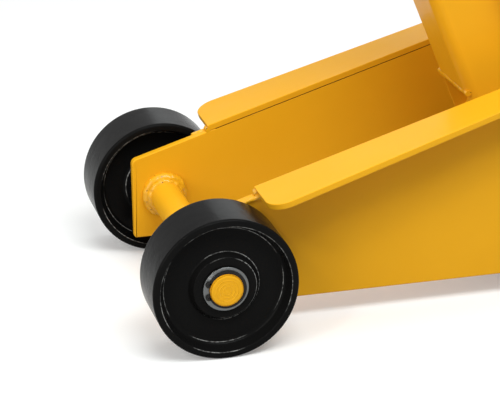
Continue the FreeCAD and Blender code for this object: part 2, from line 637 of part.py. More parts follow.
def make_yoke():
    """The block that holds the saddle level, with its levelling pin."""
    outline = [("-yoke_boss_radius", "0"), ("yoke_boss_radius", "0"),
               ("level_x+yoke_lobe_radius", "level_z"), ("yoke_rear", "yoke_top"),
               ("-yoke_front", "yoke_top"), ("-yoke_front", "yoke_top-yoke_nose")]
    web = place(plate("yoke_web", outline, "yoke_width", middle=True), TIP_X, 0, TIP_Z, ON_SIDE)
    boss = cylinder("yoke_boss", "yoke_boss_radius", "yoke_width")
    place(boss, TIP_X, S.yoke_width / 2, TIP_Z, ON_SIDE)
    lobe = cylinder("yoke_lobe", "yoke_lobe_radius", "yoke_width")
    place(lobe, TIP_X + S.level_x, S.yoke_width / 2, TIP_Z + S.level_z, ON_SIDE)
    pin_hole = cylinder("yoke_pin_hole", "yoke_pin_radius+running_gap", "yoke_width*2")
    place(pin_hole, TIP_X, S.yoke_width, TIP_Z, ON_SIDE)
    level_hole = cylinder("yoke_level_hole", "level_pin_radius", "yoke_width*2")
    place(level_hole, TIP_X + S.level_x, S.yoke_width, TIP_Z + S.level_z, ON_SIDE)
    stem_hole = cylinder("yoke_stem_hole", "stem_radius+running_gap", "stem_length*2")
    place(stem_hole, TIP_X + S.saddle_x, 0, TIP_Z + S.yoke_top - S.stem_length - 1)
    solid = fused("yoke_solid", [web, boss, lobe])
    node("saddle_yoke", cut("yoke_bored", solid, [pin_hole, level_hole, stem_hole]))
    reach = "rod_y+rod_thickness/2+side_gap"
    level = turned("level_pin_body", [
        ("0", f"-({reach}+pin_head)"), ("level_pin_radius+pin_rim", f"-({reach}+pin_head)"),
        ("level_pin_radius+pin_rim", f"-({reach})"), ("level_pin_radius", f"-({reach})"),
        ("level_pin_radius", reach), ("level_pin_radius+pin_rim", reach),
        ("level_pin_radius+pin_rim", f"{reach}+pin_head"), ("0", f"{reach}+pin_head")])
    node("yoke_level_pin", standing(level, TIP_X + S.level_x, 0, TIP_Z + S.level_z, ON_SIDE))


def make_radius_rods():
    """The bars that keep the yoke level, and their anchor pins on the side plates."""
    holes = [("0", "0", "level_pin_radius+running_gap"),
             ("arm_length", "0", "level_pin_radius+running_gap*2")]
    bar = strap("radius_rod", "arm_length", "rod_half_width", "rod_half_width",
                "rod_thickness", holes)
    place(bar, S.arm_pivot_x + S.level_x, -S.rod_y - S.rod_thickness / 2,
          S.arm_pivot_z + S.level_z, ARM)
    both_sides("radius_rods", bar)
    reach = "rod_y-rod_thickness/2-side_gap"
    stub = turned("level_anchor", [
        ("0", f"{reach}-pin_head"), ("level_pin_radius+pin_rim", f"{reach}-pin_head"),
        ("level_pin_radius+pin_rim", reach), ("level_pin_radius", reach),
        ("level_pin_radius", PLATE_OUT), ("0", PLATE_OUT)])
    standing(stub, S.arm_pivot_x + S.level_x, 0, S.arm_pivot_z + S.level_z, ON_SIDE)
    both_sides("rod_anchor_pins", stub)


def make_saddle():
    """The lifting cup on its stem, with four lugs."""
    under, plate_top = "yoke_top+side_gap", "yoke_top+side_gap+saddle_thickness"
    profile = [("0", "yoke_top-stem_length"), ("stem_radius", "yoke_top-stem_length"),
               ("stem_radius", under), ("saddle_radius-saddle_bevel", under),
               ("saddle_radius", plate_top),
               ("saddle_radius", f"{plate_top}+saddle_lip_height"),
               ("saddle_radius-saddle_lip_width", f"{plate_top}+saddle_lip_height"),
               ("saddle_radius-saddle_lip_width-lip_slope", plate_top), ("0", plate_top)]
    cup = standing(turned("saddle_cup", profile), TIP_X + S.saddle_x, 0, TIP_Z)
    across = box("saddle_notch_across", "saddle_radius*2+overcut*2", "saddle_notch",
                 "saddle_lip_height+overcut")
    along = box("saddle_notch_along", "saddle_notch", "saddle_radius*2+overcut*2",
                "saddle_lip_height+overcut")
    top = TIP_Z + S.yoke_top + S.side_gap + S.saddle_thickness
    middle, half = TIP_X + S.saddle_x, S.saddle_radius + S.overcut
    place(across, middle - half, -S.saddle_notch / 2, top)
    place(along, middle - S.saddle_notch / 2, -half, top)
    node("saddle", cut("saddle_notched", cup, [across, along]))


# ---- hydraulic unit ----

# The mean travel of a crank pin for each radian, over a swing centred on its dead line,
# and how far one straight ratio is raised to follow the ends of the swing.
RATIO_LIFT = 1.003
RAM_SLOPE = S.horn_radius * (1 - math.radians(HORN_SWING) ** 2 / 8) * RATIO_LIFT
RAM_SPARE = RAM_SLOPE * math.radians(S.arm_highest - S.arm_angle)
RAM_BACK = RAM_SLOPE * math.radians(S.arm_angle - S.arm_lowest)
HEAD_FACE = (S.arm_pivot_x - S.horn_radius * math.sin(math.radians(HORN_SWING))
             + S.push_roller_radius + S.side_gap + RAM_SPARE)
TANK_X = S.gland_x + S.gland_thickness
NOSE_SWING = S.handle_stroke / 2
NOSE_X = S.handle_x + S.nose_radius * math.sin(math.radians(NOSE_SWING))
NOSE_Z = S.handle_z - S.nose_radius * math.cos(math.radians(NOSE_SWING))
NOSE_SLOPE = S.nose_radius * (1 - math.radians(NOSE_SWING) ** 2 / 8) * RATIO_LIFT
PLUNGER_TRAVEL = NOSE_SLOPE * math.radians(S.handle_stroke)
PLUNGER_FACE = NOSE_X - S.nose_roller_radius - S.side_gap
UNIT_BOLTS = [("block_x+bolt_inset", "block_bottom+bolt_inset"),
              ("block_x+bolt_inset", "block_top-bolt_edge"),
              ("block_x+block_length-bolt_inset", "rear_bolt_z")]
UNIT_BOLT_PLACES = [(S.block_x + S.bolt_inset, S.block_bottom + S.bolt_inset),
                    (S.block_x + S.bolt_inset, S.block_top - S.bolt_edge),
                    (S.block_x + S.block_length - S.bolt_inset, S.rear_bolt_z)]


def along_ram(thing, x):
    """Place a turned piece on the ram's axis, its own heights counted from x."""
    return standing(thing, x, 0, S.ram_z, ALONG)


def make_ram():
    """The push head, spring bar, rod, piston and seal that move together."""
    outline = [("0", "-head_height/2+head_chamfer"), ("head_chamfer", "-head_height/2"),
               ("head_length", "-head_height/2"), ("head_length", "head_height/2"),
               ("head_chamfer", "head_height/2"), ("0", "head_height/2-head_chamfer")]
    head = plate("push_head", outline, "head_width", [("head_length/2", "0", "bar_radius")],
                 middle=True)
    node("push_head", place(head, HEAD_FACE, 0, S.ram_z, ON_SIDE))
    bar = turned("spring_bar_body", [
        ("0", "-bar_reach"), ("bar_radius", "-bar_reach"), ("bar_radius", "bar_reach"),
        ("0", "bar_reach")])
    node("spring_bar", standing(bar, HEAD_FACE + S.head_length / 2, 0, S.ram_z, ON_SIDE))
    piston = TANK_X + RAM_SPARE + S.piston_margin
    back = HEAD_FACE + S.head_length
    rod = turned("ram_rod_body", [
        ("0", "0"), ("rod_radius-rod_chamfer", "0"), ("rod_radius", "rod_chamfer"),
        ("rod_radius", number(piston - back)), ("0", number(piston - back))])
    node("ram_rod", along_ram(rod, back))
    wide, neck = "bore_radius-piston_gap", "bore_radius-seal_depth"
    crown = turned("piston_body", [
        ("0", "0"), (wide, "0"), (wide, "piston_length/2-seal_width/2"),
        (neck, "piston_length/2-seal_width/2"), (neck, "piston_length/2+seal_width/2"),
        (wide, "piston_length/2+seal_width/2"), (wide, "piston_length"), ("0", "piston_length")])
    node("ram_piston", along_ram(crown, piston))
    seal = ring("piston_seal_body", neck, wide, "piston_length/2-seal_width/2",
                "piston_length/2+seal_width/2")
    node("piston_seal", along_ram(seal, piston))


def make_cylinder_and_tank():
    """The pressure cylinder inside the oil tank, with filler plug and gland."""
    seat_end = S.block_x + S.cylinder_seat - TANK_X
    outer = "bore_radius+cylinder_wall"
    tube = turned("ram_cylinder_body", [
        ("bore_radius", "0"), (outer, "0"), (outer, number(seat_end)), ("0", number(seat_end)),
        ("0", f"{number(seat_end)}-cylinder_base"),
        ("bore_radius", f"{number(seat_end)}-cylinder_base")])
    node("ram_cylinder", along_ram(tube, TANK_X))
    shell = ring("tank_shell", "tank_radius-tank_wall", "tank_radius", "0",
                 number(S.block_x - TANK_X))
    filler = cylinder("tank_filler_hole", "plug_radius", "tank_radius*2")
    place(filler, S.plug_x, 0, S.ram_z)
    node("oil_reservoir", cut("tank_drilled", along_ram(shell, TANK_X), [filler]))
    plug = pin("filler_plug_body", "plug_radius", "tank_radius-tank_wall", "tank_radius",
               "plug_head_radius", "plug_head_height")
    node("filler_plug", standing(plug, S.plug_x, 0, S.ram_z))
    gland = turned("gland_body", [
        ("rod_radius+running_gap", "0"), ("gland_radius-gland_chamfer", "0"),
        ("gland_radius", "gland_chamfer"),
        ("gland_radius", "gland_thickness"), ("rod_radius+running_gap", "gland_thickness")])
    node("ram_gland", along_ram(gland, S.gland_x))


def make_pump_block():
    """The casting behind the tank, bored for cylinder, plunger, valve and bolts."""
    outline = [("0", "block_bottom"), ("block_length", "block_bottom"),
               ("block_length", "block_top-block_chamfer"),
               ("block_length-block_chamfer", "block_top"), ("0", "block_top")]
    solid = plate("pump_block_casting", outline, "plate_spacing", middle=True)
    place(solid, S.block_x, 0, 0, ON_SIDE)
    seat = cylinder("cylinder_seat_hole", "bore_radius+cylinder_wall", "cylinder_seat")
    place(seat, S.block_x, 0, S.ram_z, ALONG)
    deep = S.plunger_inside + PLUNGER_TRAVEL + S.plunger_end_gap
    pump = cylinder("pump_bore", "plunger_radius+running_gap", number(deep))
    place(pump, S.block_x + S.block_length - deep, 0, S.pump_z, ALONG)
    valve = cylinder("valve_bore", "valve_radius+running_gap", "valve_inside+valve_end_gap")
    place(valve, S.block_x + S.block_length - S.valve_inside - S.valve_end_gap,
          S.valve_y, S.valve_z, ALONG)
    holes = [seat, pump, valve]
    for i, (x, z) in enumerate(UNIT_BOLT_PLACES):
        for side in (-1, 1):
            hole = cylinder(f"bolt_hole_{i}_{side + 1}", "unit_bolt_radius", "unit_bolt_depth")
            start = side * S.plate_spacing / 2 + (S.unit_bolt_depth if side < 0 else 0)
            holes.append(place(hole, x, start, z, ON_SIDE))
    node("pump_block", cut("pump_block_bored", solid, holes))


def make_unit_bolts():
    """The bolts that hold the pump block between the side plates."""
    bolts = []
    outside = S.plate_spacing / 2 + S.plate_thickness
    for i, (x, z) in enumerate(UNIT_BOLT_PLACES):
        head = hexagon(f"unit_bolt_head_{i}", "unit_bolt_across", "unit_bolt_head")
        place(head, x, -outside, z, ON_SIDE)
        shank = cylinder(f"unit_bolt_shank_{i}", "unit_bolt_radius",
                         "unit_bolt_depth-bolt_end_gap+plate_thickness")
        place(shank, x, -S.plate_spacing / 2 + S.unit_bolt_depth - S.bolt_end_gap, z, ON_SIDE)
        bolts.append(fused(f"unit_bolt_{i}", [head, shank]))
    bolts += [mirrored(f"unit_bolt_far_{i}", bolt) for i, bolt in enumerate(bolts)]
    node("unit_bolts", group("unit_bolt_set", bolts))


def make_return_springs():
    """The springs that pull the ram back, and their anchor pins."""
    start = HEAD_FACE + S.head_length / 2
    length = S.spring_anchor_x - start
    inner, outer = "spring_radius-spring_wire", "spring_radius"
    far = number(length)
    coil = ring("return_spring_coil", inner, outer, "bar_radius+hook_gap",
                f"{far}-anchor_radius-hook_gap")
    standing(coil, start, -S.spring_y, S.ram_z, ALONG)
    both_sides("return_springs", coil)
    stub = pin("spring_anchor", "anchor_radius", "spring_y-anchor_inset", "plate_spacing/2")
    both_sides("spring_anchor_pins", standing(stub, S.spring_anchor_x, 0, S.ram_z, ON_SIDE))


def make_release_valve():
    """The spindle that lets the oil back, its nut and its cross bar."""
    rear = S.block_x + S.block_length
    nut = hexagon("valve_nut_hex", "valve_nut_across", "valve_nut_length")
    place(nut, rear, S.valve_y, S.valve_z, ALONG)
    way = cylinder("valve_nut_bore", "valve_radius+running_gap", "valve_nut_length")
    place(way, rear, S.valve_y, S.valve_z, ALONG)
    node("release_valve_nut", cut("valve_nut", nut, [way]))
    spindle = cylinder("valve_spindle", "valve_radius", "valve_length")
    place(spindle, rear - S.valve_inside, S.valve_y, S.valve_z, ALONG)
    cross = cylinder("tommy_hole", "tommy_radius", "valve_radius*4")
    tommy_x = rear + S.valve_length - S.valve_inside - S.tommy_from_end
    place(cross, tommy_x, S.valve_y, S.valve_z - S.valve_radius * 2)
    node("release_valve_spindle", cut("valve_spindle_bored", spindle, [cross]))
    bar = pin("tommy_bar_body", "tommy_radius", "-tommy_reach", "tommy_reach")
    node("release_tommy_bar", standing(bar, tommy_x, S.valve_y, S.valve_z))


# ---- pump and handle ----

HANDLE = FreeCAD.Rotation(FreeCAD.Vector(0, 1, 0), 90 - S.handle_angle)


def make_pump():
    """The pump plunger with its cap, and the spring that lifts it."""
    start = S.block_x + S.block_length - S.plunger_inside
    cap_start = PLUNGER_FACE - S.plunger_cap_length
    plunger = turned("plunger_body", [
        ("0", "0"), ("plunger_radius", "0"), ("plunger_radius", number(cap_start - start)),
        ("plunger_cap_radius", number(cap_start - start)),
        ("plunger_cap_radius", number(PLUNGER_FACE - start - S.plunger_chamfer)),
        ("plunger_cap_radius-plunger_chamfer", number(PLUNGER_FACE - start)),
        ("0", number(PLUNGER_FACE - start))])
    node("pump_plunger", standing(plunger, start, 0, S.pump_z, ALONG))
    rear = S.block_x + S.block_length
    spring = ring("pump_spring_coil", "pump_spring_radius-pump_spring_wire",
                  "pump_spring_radius", "0", number(cap_start - rear))
    node("pump_spring", standing(spring, rear, 0, S.pump_z, ALONG))


def make_socket():
    """The tube that holds the handle, its clamp screw and its cheeks."""
    tube = ring("socket_tube", "handle_radius+socket_gap",
                "handle_radius+socket_gap+socket_wall", "socket_start", "socket_end")
    standing(tube, S.handle_x, 0, S.handle_z, HANDLE)
    screw_way = cylinder("clamp_way", "clamp_radius", "handle_radius*3")
    direction = HANDLE.multVec(FreeCAD.Vector(0, 0, 1))
    side = HANDLE.multVec(FreeCAD.Vector(-1, 0, 0))
    spot = direction * S.clamp_at
    aim = FreeCAD.Rotation(FreeCAD.Vector(0, 0, 1), side)
    place(screw_way, S.handle_x + spot.x, spot.y, S.handle_z + spot.z, aim)
    node("handle_socket_tube", cut("socket_drilled", tube, [screw_way]))
    screw = turned("clamp_screw_body", [
        ("0", "handle_radius"), ("clamp_radius", "handle_radius"),
        ("clamp_radius", "handle_radius+socket_wall+clamp_stand"),
        ("clamp_head_radius", "handle_radius+socket_wall+clamp_stand"),
        ("clamp_head_radius", "handle_radius+socket_wall+clamp_stand+clamp_head_height"),
        ("0", "handle_radius+socket_wall+clamp_stand+clamp_head_height")])
    standing(screw, S.handle_x + spot.x, spot.y, S.handle_z + spot.z, aim)
    node("handle_clamp_screw", screw)
    make_socket_cheeks()


def make_socket_cheeks():
    """The cheeks that carry the socket, with the roller that works the pump."""
    inner = S.handle_radius + S.socket_gap + S.socket_wall
    arm = strap("cheek_arm", "cheek_length", "cheek_root_radius", "cheek_end_radius",
                "cheek_thickness", [("0", "0", "handle_pin_radius+running_gap")])
    place(arm, S.handle_x, -inner, S.handle_z,
          FreeCAD.Rotation(FreeCAD.Vector(0, 1, 0), -S.handle_angle).multiply(ON_SIDE))
    nose = strap("cheek_nose", "nose_radius", "cheek_root_radius", "nose_tip_radius",
                 "cheek_thickness", [("0", "0", "handle_pin_radius+running_gap"),
                                     ("nose_radius", "0", "nose_pin_radius")])
    place(nose, S.handle_x, -inner, S.handle_z,
          FreeCAD.Rotation(FreeCAD.Vector(0, 1, 0), 90 - NOSE_SWING).multiply(ON_SIDE))
    both_sides("socket_cheeks", fused("socket_cheek", [arm, nose]))
    spindle = pin("nose_pin_body", "nose_pin_radius", f"-({CHEEK_OUT})", CHEEK_OUT)
    node("pump_roller_pin", standing(spindle, NOSE_X, 0, NOSE_Z, ON_SIDE))
    roller = ring("pump_roller_body", "nose_pin_radius+running_gap", "nose_roller_radius",
                  "-nose_roller_width/2", "nose_roller_width/2")
    node("pump_roller", standing(roller, NOSE_X, 0, NOSE_Z, ON_SIDE))
    bolt = pin("handle_pivot_bolt", "handle_pin_radius", CHEEK_IN, PLATE_OUT,
               "handle_pin_head", "handle_pin_head_height")
    both_sides("handle_pivot_pins", standing(bolt, S.handle_x, 0, S.handle_z, ON_SIDE))


def make_handle():
    """The handle tube and its rubber grip."""
    tube = ring("handle_tube_body", "handle_radius-handle_wall", "handle_radius",
                "handle_start", "handle_reach-grip_end")
    node("handle_tube", standing(tube, S.handle_x, 0, S.handle_z, HANDLE))
    grip = turned("handle_grip_body", [
        ("handle_radius", "grip_start"), ("handle_radius+grip_wall", "grip_start"),
        ("handle_radius+grip_wall", "handle_reach"), ("0", "handle_reach"),
        ("0", "handle_reach-grip_end"), ("handle_radius", "handle_reach-grip_end")])
    node("handle_grip", standing(grip, S.handle_x, 0, S.handle_z, HANDLE))


# ---- rear casters ----

def make_outriggers():
    """The gusseted shelves on the side plates that carry the casters."""
    reach = "caster_y-plate_spacing/2-plate_thickness"
    outline = [("-outrigger_front", reach), ("-shelf_half_width", "-outrigger_reach"),
               ("shelf_half_width", "-outrigger_reach"), ("outrigger_front", reach)]
    shelf = plate("outrigger", outline, "outrigger_thickness", [("0", "0", "kingpin_radius")])
    for side in (-S.shelf_half_width, S.shelf_half_width):
        rounded(shelf, "outrigger_corner", at_point(side, -S.outrigger_reach))
    place(shelf, S.caster_x, -S.caster_y, S.fork_top_z + S.side_gap + S.race_thickness)
    rib = plate("gusset", [("0", "0"), ("gusset_reach", "0"), ("0", "gusset_rise")],
                "gusset_thickness", middle=True)
    side = FreeCAD.Rotation(FreeCAD.Vector(0, -1, 0), FreeCAD.Vector(0, 0, 1),
                            FreeCAD.Vector(-1, 0, 0), "ZXY")
    top = S.fork_top_z + S.side_gap + S.race_thickness + S.outrigger_thickness
    place(rib, S.caster_x - S.outrigger_reach, -S.plate_spacing / 2 - S.plate_thickness, top,
          side)
    both_sides("caster_outriggers", fused("outrigger_welded", [shelf, rib]))


def make_caster():
    """The swivel races, kingpins and nuts of the casters."""
    race = ring("swivel_race_body", "kingpin_radius", "race_radius", "0", "race_thickness")
    standing(race, S.caster_x, -S.caster_y, S.fork_top_z + S.side_gap)
    both_sides("swivel_races", race)
    under = "-(fork_wall+side_gap)"
    king = turned("kingpin_body", [
        ("0", f"{under}-kingpin_head_height"),
        ("kingpin_head_radius", f"{under}-kingpin_head_height"), ("kingpin_head_radius", under),
        ("kingpin_radius", under),
        ("kingpin_radius", "side_gap+race_thickness+outrigger_thickness+kingpin_rise"),
        ("0", "side_gap+race_thickness+outrigger_thickness+kingpin_rise")])
    standing(king, S.caster_x, -S.caster_y, S.fork_top_z)
    top = S.fork_top_z + S.side_gap + S.race_thickness + S.outrigger_thickness
    nut = hexagon("kingpin_nut_hex", "kingpin_nut_across", "kingpin_nut_height")
    place(nut, S.caster_x, -S.caster_y, top)
    thread = cylinder("kingpin_nut_bore", "kingpin_radius", "kingpin_nut_height")
    place(thread, S.caster_x, -S.caster_y, top)
    both_sides("kingpins_and_nuts", group("kingpin_set", [king, cut("kingpin_nut", nut, [thread])]))


def make_caster_fork():
    """The forks of the casters."""
    width = "caster_width+caster_side_gap*2+fork_wall*2"
    half = S.caster_width / 2 + S.caster_side_gap + S.fork_wall
    crown = box("fork_crown", "fork_front*2+fork_back", width, "fork_wall")
    place(crown, S.caster_x - S.fork_front, -S.caster_y - half, S.fork_top_z - S.fork_wall)
    king_hole = cylinder("fork_king_hole", "kingpin_radius+running_gap", "fork_wall*3")
    place(king_hole, S.caster_x, -S.caster_y, S.fork_top_z - S.fork_wall * 2)
    foot = "caster_trail+fork_foot"
    outline = [("-fork_front", "fork_top_z-fork_wall/2"), ("-fork_front", "fork_top_z-fork_skirt"),
               ("caster_trail-fork_foot", "caster_radius-fork_foot"),
               (foot, "caster_radius-fork_foot"), (foot, "caster_radius+fork_foot"),
               ("fork_front+fork_back", "fork_top_z-fork_skirt"),
               ("fork_front+fork_back", "fork_top_z-fork_wall/2")]
    legs = []
    for i, side in enumerate((-1, 1)):
        leg = plate(f"fork_leg_{i}", outline, "fork_wall",
                    [("caster_trail", "caster_radius", "caster_bore")])
        rounded(leg, "fork_foot*0.7", at_point(S.caster_trail - S.fork_foot,
                                               S.caster_radius - S.fork_foot))
        rounded(leg, "fork_foot*0.9", at_point(S.caster_trail + S.fork_foot,
                                               S.caster_radius - S.fork_foot))
        across = -S.caster_y + side * half + (S.fork_wall if side < 0 else 0)
        legs.append(place(leg, S.caster_x, across, 0, ON_SIDE))
    solid = fused("fork_solid", [crown] + legs)
    near_and_far("caster_fork", cut("fork_bored", solid, [king_hole]))


def make_caster_wheel():
    """The caster wheels and their axle bolts."""
    half, floor = "caster_width/2", "caster_width/2-caster_recess"
    side = [("caster_bore+running_gap", half), ("caster_hub_radius", half),
            ("caster_hub_radius+caster_draft", floor),
            ("caster_rim-caster_draft", floor), ("caster_rim", half),
            ("caster_radius-caster_crown", half),
            ("caster_radius", f"{half}-caster_shoulder")]
    other = [(radius, f"-({height})") for radius, height in reversed(side)]
    wheel = turned("caster_wheel_body", side + other)
    x = S.caster_x + S.caster_trail
    near_and_far("caster_wheel", standing(wheel, x, -S.caster_y, S.caster_radius, ON_SIDE))
    reach = "caster_width/2+caster_side_gap+fork_wall"
    bolt = turned("caster_axle_body", [
        ("0", f"-({reach}+axle_bolt_head)"),
        ("caster_bore+axle_bolt_rim", f"-({reach}+axle_bolt_head)"),
        ("caster_bore+axle_bolt_rim", f"-({reach})"), ("caster_bore", f"-({reach})"),
        ("caster_bore", reach), ("caster_bore+axle_nut_rim", reach),
        ("caster_bore+axle_nut_rim", f"{reach}+axle_nut"), ("0", f"{reach}+axle_nut")])
    near_and_far("caster_axle", standing(bolt, x, -S.caster_y, S.caster_radius, ON_SIDE))


def check_and_write():
    """Refuse failed objects and write one file for each sub-part."""
    doc.recompute()
    for thing in doc.Objects:
        if "Invalid" in thing.State or "Error" in thing.State:
            raise ValueError(f"{thing.Name} failed: {thing.State}")
    os.makedirs("parts", exist_ok=True)
    for name, thing in nodes.items():
        shape = thing.Shape
        if shape.isNull() or not shape.isValid() or not shape.Solids:
            raise ValueError(f"{name} has no valid solid")
        shape.exportStep(f"parts/{name}.step")


def main():
    make_sheet()
    make_front_axle()
    make_front_wheels()
    make_axle_fittings()
    make_shaft_circlips()
    make_pivot_spacers()
    make_side_plates()
    make_top_flanges()
    make_tie_tube()
    make_arm_channel()
    make_arm_cover()
    make_arm_pivot()
    make_horn()
    make_yoke_pin()
    make_yoke()
    make_radius_rods()
    make_saddle()
    make_ram()
    make_cylinder_and_tank()
    make_pump_block()
    make_unit_bolts()
    make_return_springs()
    make_release_valve()
    make_pump()
    make_socket()
    make_handle()
    make_outriggers()
    make_caster()
    make_caster_fork()
    make_caster_wheel()
    check_and_write()


main()
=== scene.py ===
import json
import logging
import math
from dataclasses import dataclass, field
from enum import Enum

import bmesh
import bpy
from mathutils import Matrix, Vector


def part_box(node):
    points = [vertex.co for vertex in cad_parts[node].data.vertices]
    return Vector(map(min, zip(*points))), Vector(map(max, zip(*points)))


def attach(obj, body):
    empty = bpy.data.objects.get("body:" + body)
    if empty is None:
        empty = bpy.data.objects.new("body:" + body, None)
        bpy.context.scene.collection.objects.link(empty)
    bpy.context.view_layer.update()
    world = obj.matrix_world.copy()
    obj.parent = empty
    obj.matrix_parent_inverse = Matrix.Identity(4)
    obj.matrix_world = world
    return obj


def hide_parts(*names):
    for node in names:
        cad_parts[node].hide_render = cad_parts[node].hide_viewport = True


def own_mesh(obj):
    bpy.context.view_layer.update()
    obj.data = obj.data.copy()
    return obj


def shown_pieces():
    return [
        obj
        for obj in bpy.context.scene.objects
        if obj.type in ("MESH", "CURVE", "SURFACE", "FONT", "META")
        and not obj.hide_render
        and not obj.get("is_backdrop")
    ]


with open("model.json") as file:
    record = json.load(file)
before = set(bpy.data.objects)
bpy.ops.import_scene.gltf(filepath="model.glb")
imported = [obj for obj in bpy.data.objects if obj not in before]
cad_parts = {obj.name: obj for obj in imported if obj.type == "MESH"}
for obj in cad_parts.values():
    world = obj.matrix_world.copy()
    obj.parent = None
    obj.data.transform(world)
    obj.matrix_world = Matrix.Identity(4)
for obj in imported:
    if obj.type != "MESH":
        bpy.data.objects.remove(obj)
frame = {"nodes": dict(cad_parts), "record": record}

# Looks of a long-chassis hydraulic trolley jack: painted steel plate, cast wheels, welds,
# springs, bolts and the pump handle, in metres, in the frame of the built model.

LOG = logging.getLogger("trolley_jack")
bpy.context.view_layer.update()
MM = 0.001
COAT_ROUGHNESS = 0.08
STEPS_PER_RIPPLE = 0.2
TIP_SHARE = 0.25
# How far a painted highlight line fades out from its radius.
HIGHLIGHT_LINE_FADE = (0.1 * MM, 0.35 * MM)
Socket = bpy.types.NodeSocket
Piece = bpy.types.Object
Colour = tuple[float, float, float]
Profile = list[tuple[float, float]]


class Axis(Enum):
    """The world direction that a turned piece's own axis follows."""

    X = (Vector((1, 0, 0)), Vector((0, 1, 0)))
    Y = (Vector((0, 1, 0)), Vector((0, 0, 1)))
    Z = (Vector((0, 0, 1)), Vector((1, 0, 0)))


# ---- finishes ----

class Layout:
    """Adds nodes to a node tree."""

    def __init__(self, tree: bpy.types.NodeTree) -> None:
        """Work on a tree."""
        self.tree = tree

    def fill(self, node: bpy.types.Node, inputs: dict) -> bpy.types.Node:
        """Set a node's inputs, by name or index, to values or other nodes' outputs.

        Args:
            node: the node.
            inputs: values or output sockets by input name or index.

        Returns:
            The node.
        """
        for name, value in inputs.items():
            if isinstance(value, Socket):
                self.tree.links.new(value, node.inputs[name])
            else:
                node.inputs[name].default_value = value
        return node

    def add(self, kind: str, inputs: dict | None = None, **settings: object) -> bpy.types.Node:
        """Add a node of a kind, with its inputs and its own settings.

        Args:
            kind: the node's type name.
            inputs: what fill is given.
            settings: its own properties.

        Returns:
            The new node.
        """
        node = self.tree.nodes.new(kind)
        for name, value in settings.items():
            setattr(node, name, value)
        return self.fill(node, inputs or {})

    def out(self, kind: str, inputs: dict | None = None, **settings: object) -> Socket:
        """Add a node and give its first output."""
        return self.add(kind, inputs, **settings).outputs[0]

    def calc(self, first: object, second: object, how: str) -> Socket:
        """Arithmetic on two values."""
        return self.out("ShaderNodeMath", {0: first, 1: second}, operation=how)

    def vector(self, first: object, second: object, how: str) -> Socket:
        """Arithmetic on two vectors."""
        return self.out("ShaderNodeVectorMath", {0: first, 1: second}, operation=how)

    def length(self, vector: Socket) -> Socket:
        """The length of a vector."""
        return self.add("ShaderNodeVectorMath", {0: vector}, operation="LENGTH").outputs["Value"]

    def span(self, value: Socket, low: float, high: float, to_low: object, to_high: object
             ) -> Socket:
        """Stretch a value from one range to another, held at both ends."""
        return self.out("ShaderNodeMapRange", {"Value": value, "From Min": low, "From Max": high,
                                               "To Min": to_low, "To Max": to_high})


class Painter(Layout):
    """Lays out the nodes of one material."""

    def __init__(self, name: str) -> None:
        """Start a material that holds only a surface shader and its output."""
        self.material = bpy.data.materials.new(name)
        self.material.use_nodes = True
        super().__init__(self.material.node_tree)
        self.tree.nodes.clear()
        self.shader = self.add("ShaderNodeBsdfPrincipled")
        self.add("ShaderNodeOutputMaterial", {0: self.shader.outputs[0]})
        self.place = self.add("ShaderNodeTexCoord").outputs["Object"]

    def noise(self, scale: float, detail: float = 3.0, rough: float = 0.5,
              stretch: tuple[float, float, float] = (1, 1, 1)) -> Socket:
        """Smooth noise over the piece, 0 to 1."""
        place = self.out("ShaderNodeMapping", {"Vector": self.place, "Scale": stretch})
        return self.out("ShaderNodeTexNoise", {"Vector": place, "Scale": scale,
                                               "Detail": detail, "Roughness": rough})

    def specks(self, scale: float, size: float) -> Socket:
        """Small scattered round spots, 1 in a spot and 0 between them.

        Args:
            scale: cells per metre.
            size: a spot's size as a share of a cell.

        Returns:
            The pattern.
        """
        cells = self.add("ShaderNodeTexVoronoi", {"Vector": self.place, "Scale": scale}).outputs
        picked = self.span(cells["Color"], 0.62, 0.66, 0.0, 1.0)
        spot = self.span(cells["Distance"], size * 0.4, size, 1.0, 0.0)
        return self.calc(picked, spot, "MULTIPLY")

    def rings(self, radii: tuple[float, ...]) -> Socket:
        """Painted highlights: thin broken bright lines at some radii round the front axle, 1 on
        a line.

        Args:
            radii: the lines' radii in metres.

        Returns:
            The pattern.
        """
        away = self.vector(self.place, tuple(middle("front_axle")), "SUBTRACT")
        radius = self.length(self.vector(away, (1, 0, 1), "MULTIPLY"))
        total = 0.0
        for value in radii:
            off = self.calc(self.calc(radius, value, "SUBTRACT"), 0.0, "ABSOLUTE")
            total = self.calc(total, self.span(off, *HIGHLIGHT_LINE_FADE, 1.0, 0.0), "MAXIMUM")
        arcs = self.span(self.noise(26.0, 1.0), 0.44, 0.56, 0.0, 1.0)
        dots = self.span(self.noise(420.0, 3.0, 0.6), 0.4, 0.6, 0.15, 1.0)
        return self.calc(total, self.calc(arcs, dots, "MULTIPLY"), "MULTIPLY")

    def mixed(self, share: Socket, first: object, second: object) -> Socket:
        """One colour turning into another by a share.

        Args:
            share: 0 for the first colour, 1 for the second.
            first: a colour or a node's output.
            second: the same.

        Returns:
            The mixed colour.
        """
        first, second = (colour if isinstance(colour, Socket) else (*colour, 1)
                         for colour in (first, second))
        made = self.add("ShaderNodeMix", {0: share, 6: first, 7: second}, data_type="RGBA")
        return made.outputs[2]

    def bump(self, height: Socket, depth: float, **under: Socket) -> Socket:
        """Raise a surface by a height pattern, over another bump if Normal is given."""
        return self.out("ShaderNodeBump", {"Height": height, "Distance": depth,
                                           "Strength": 1.0, **under})


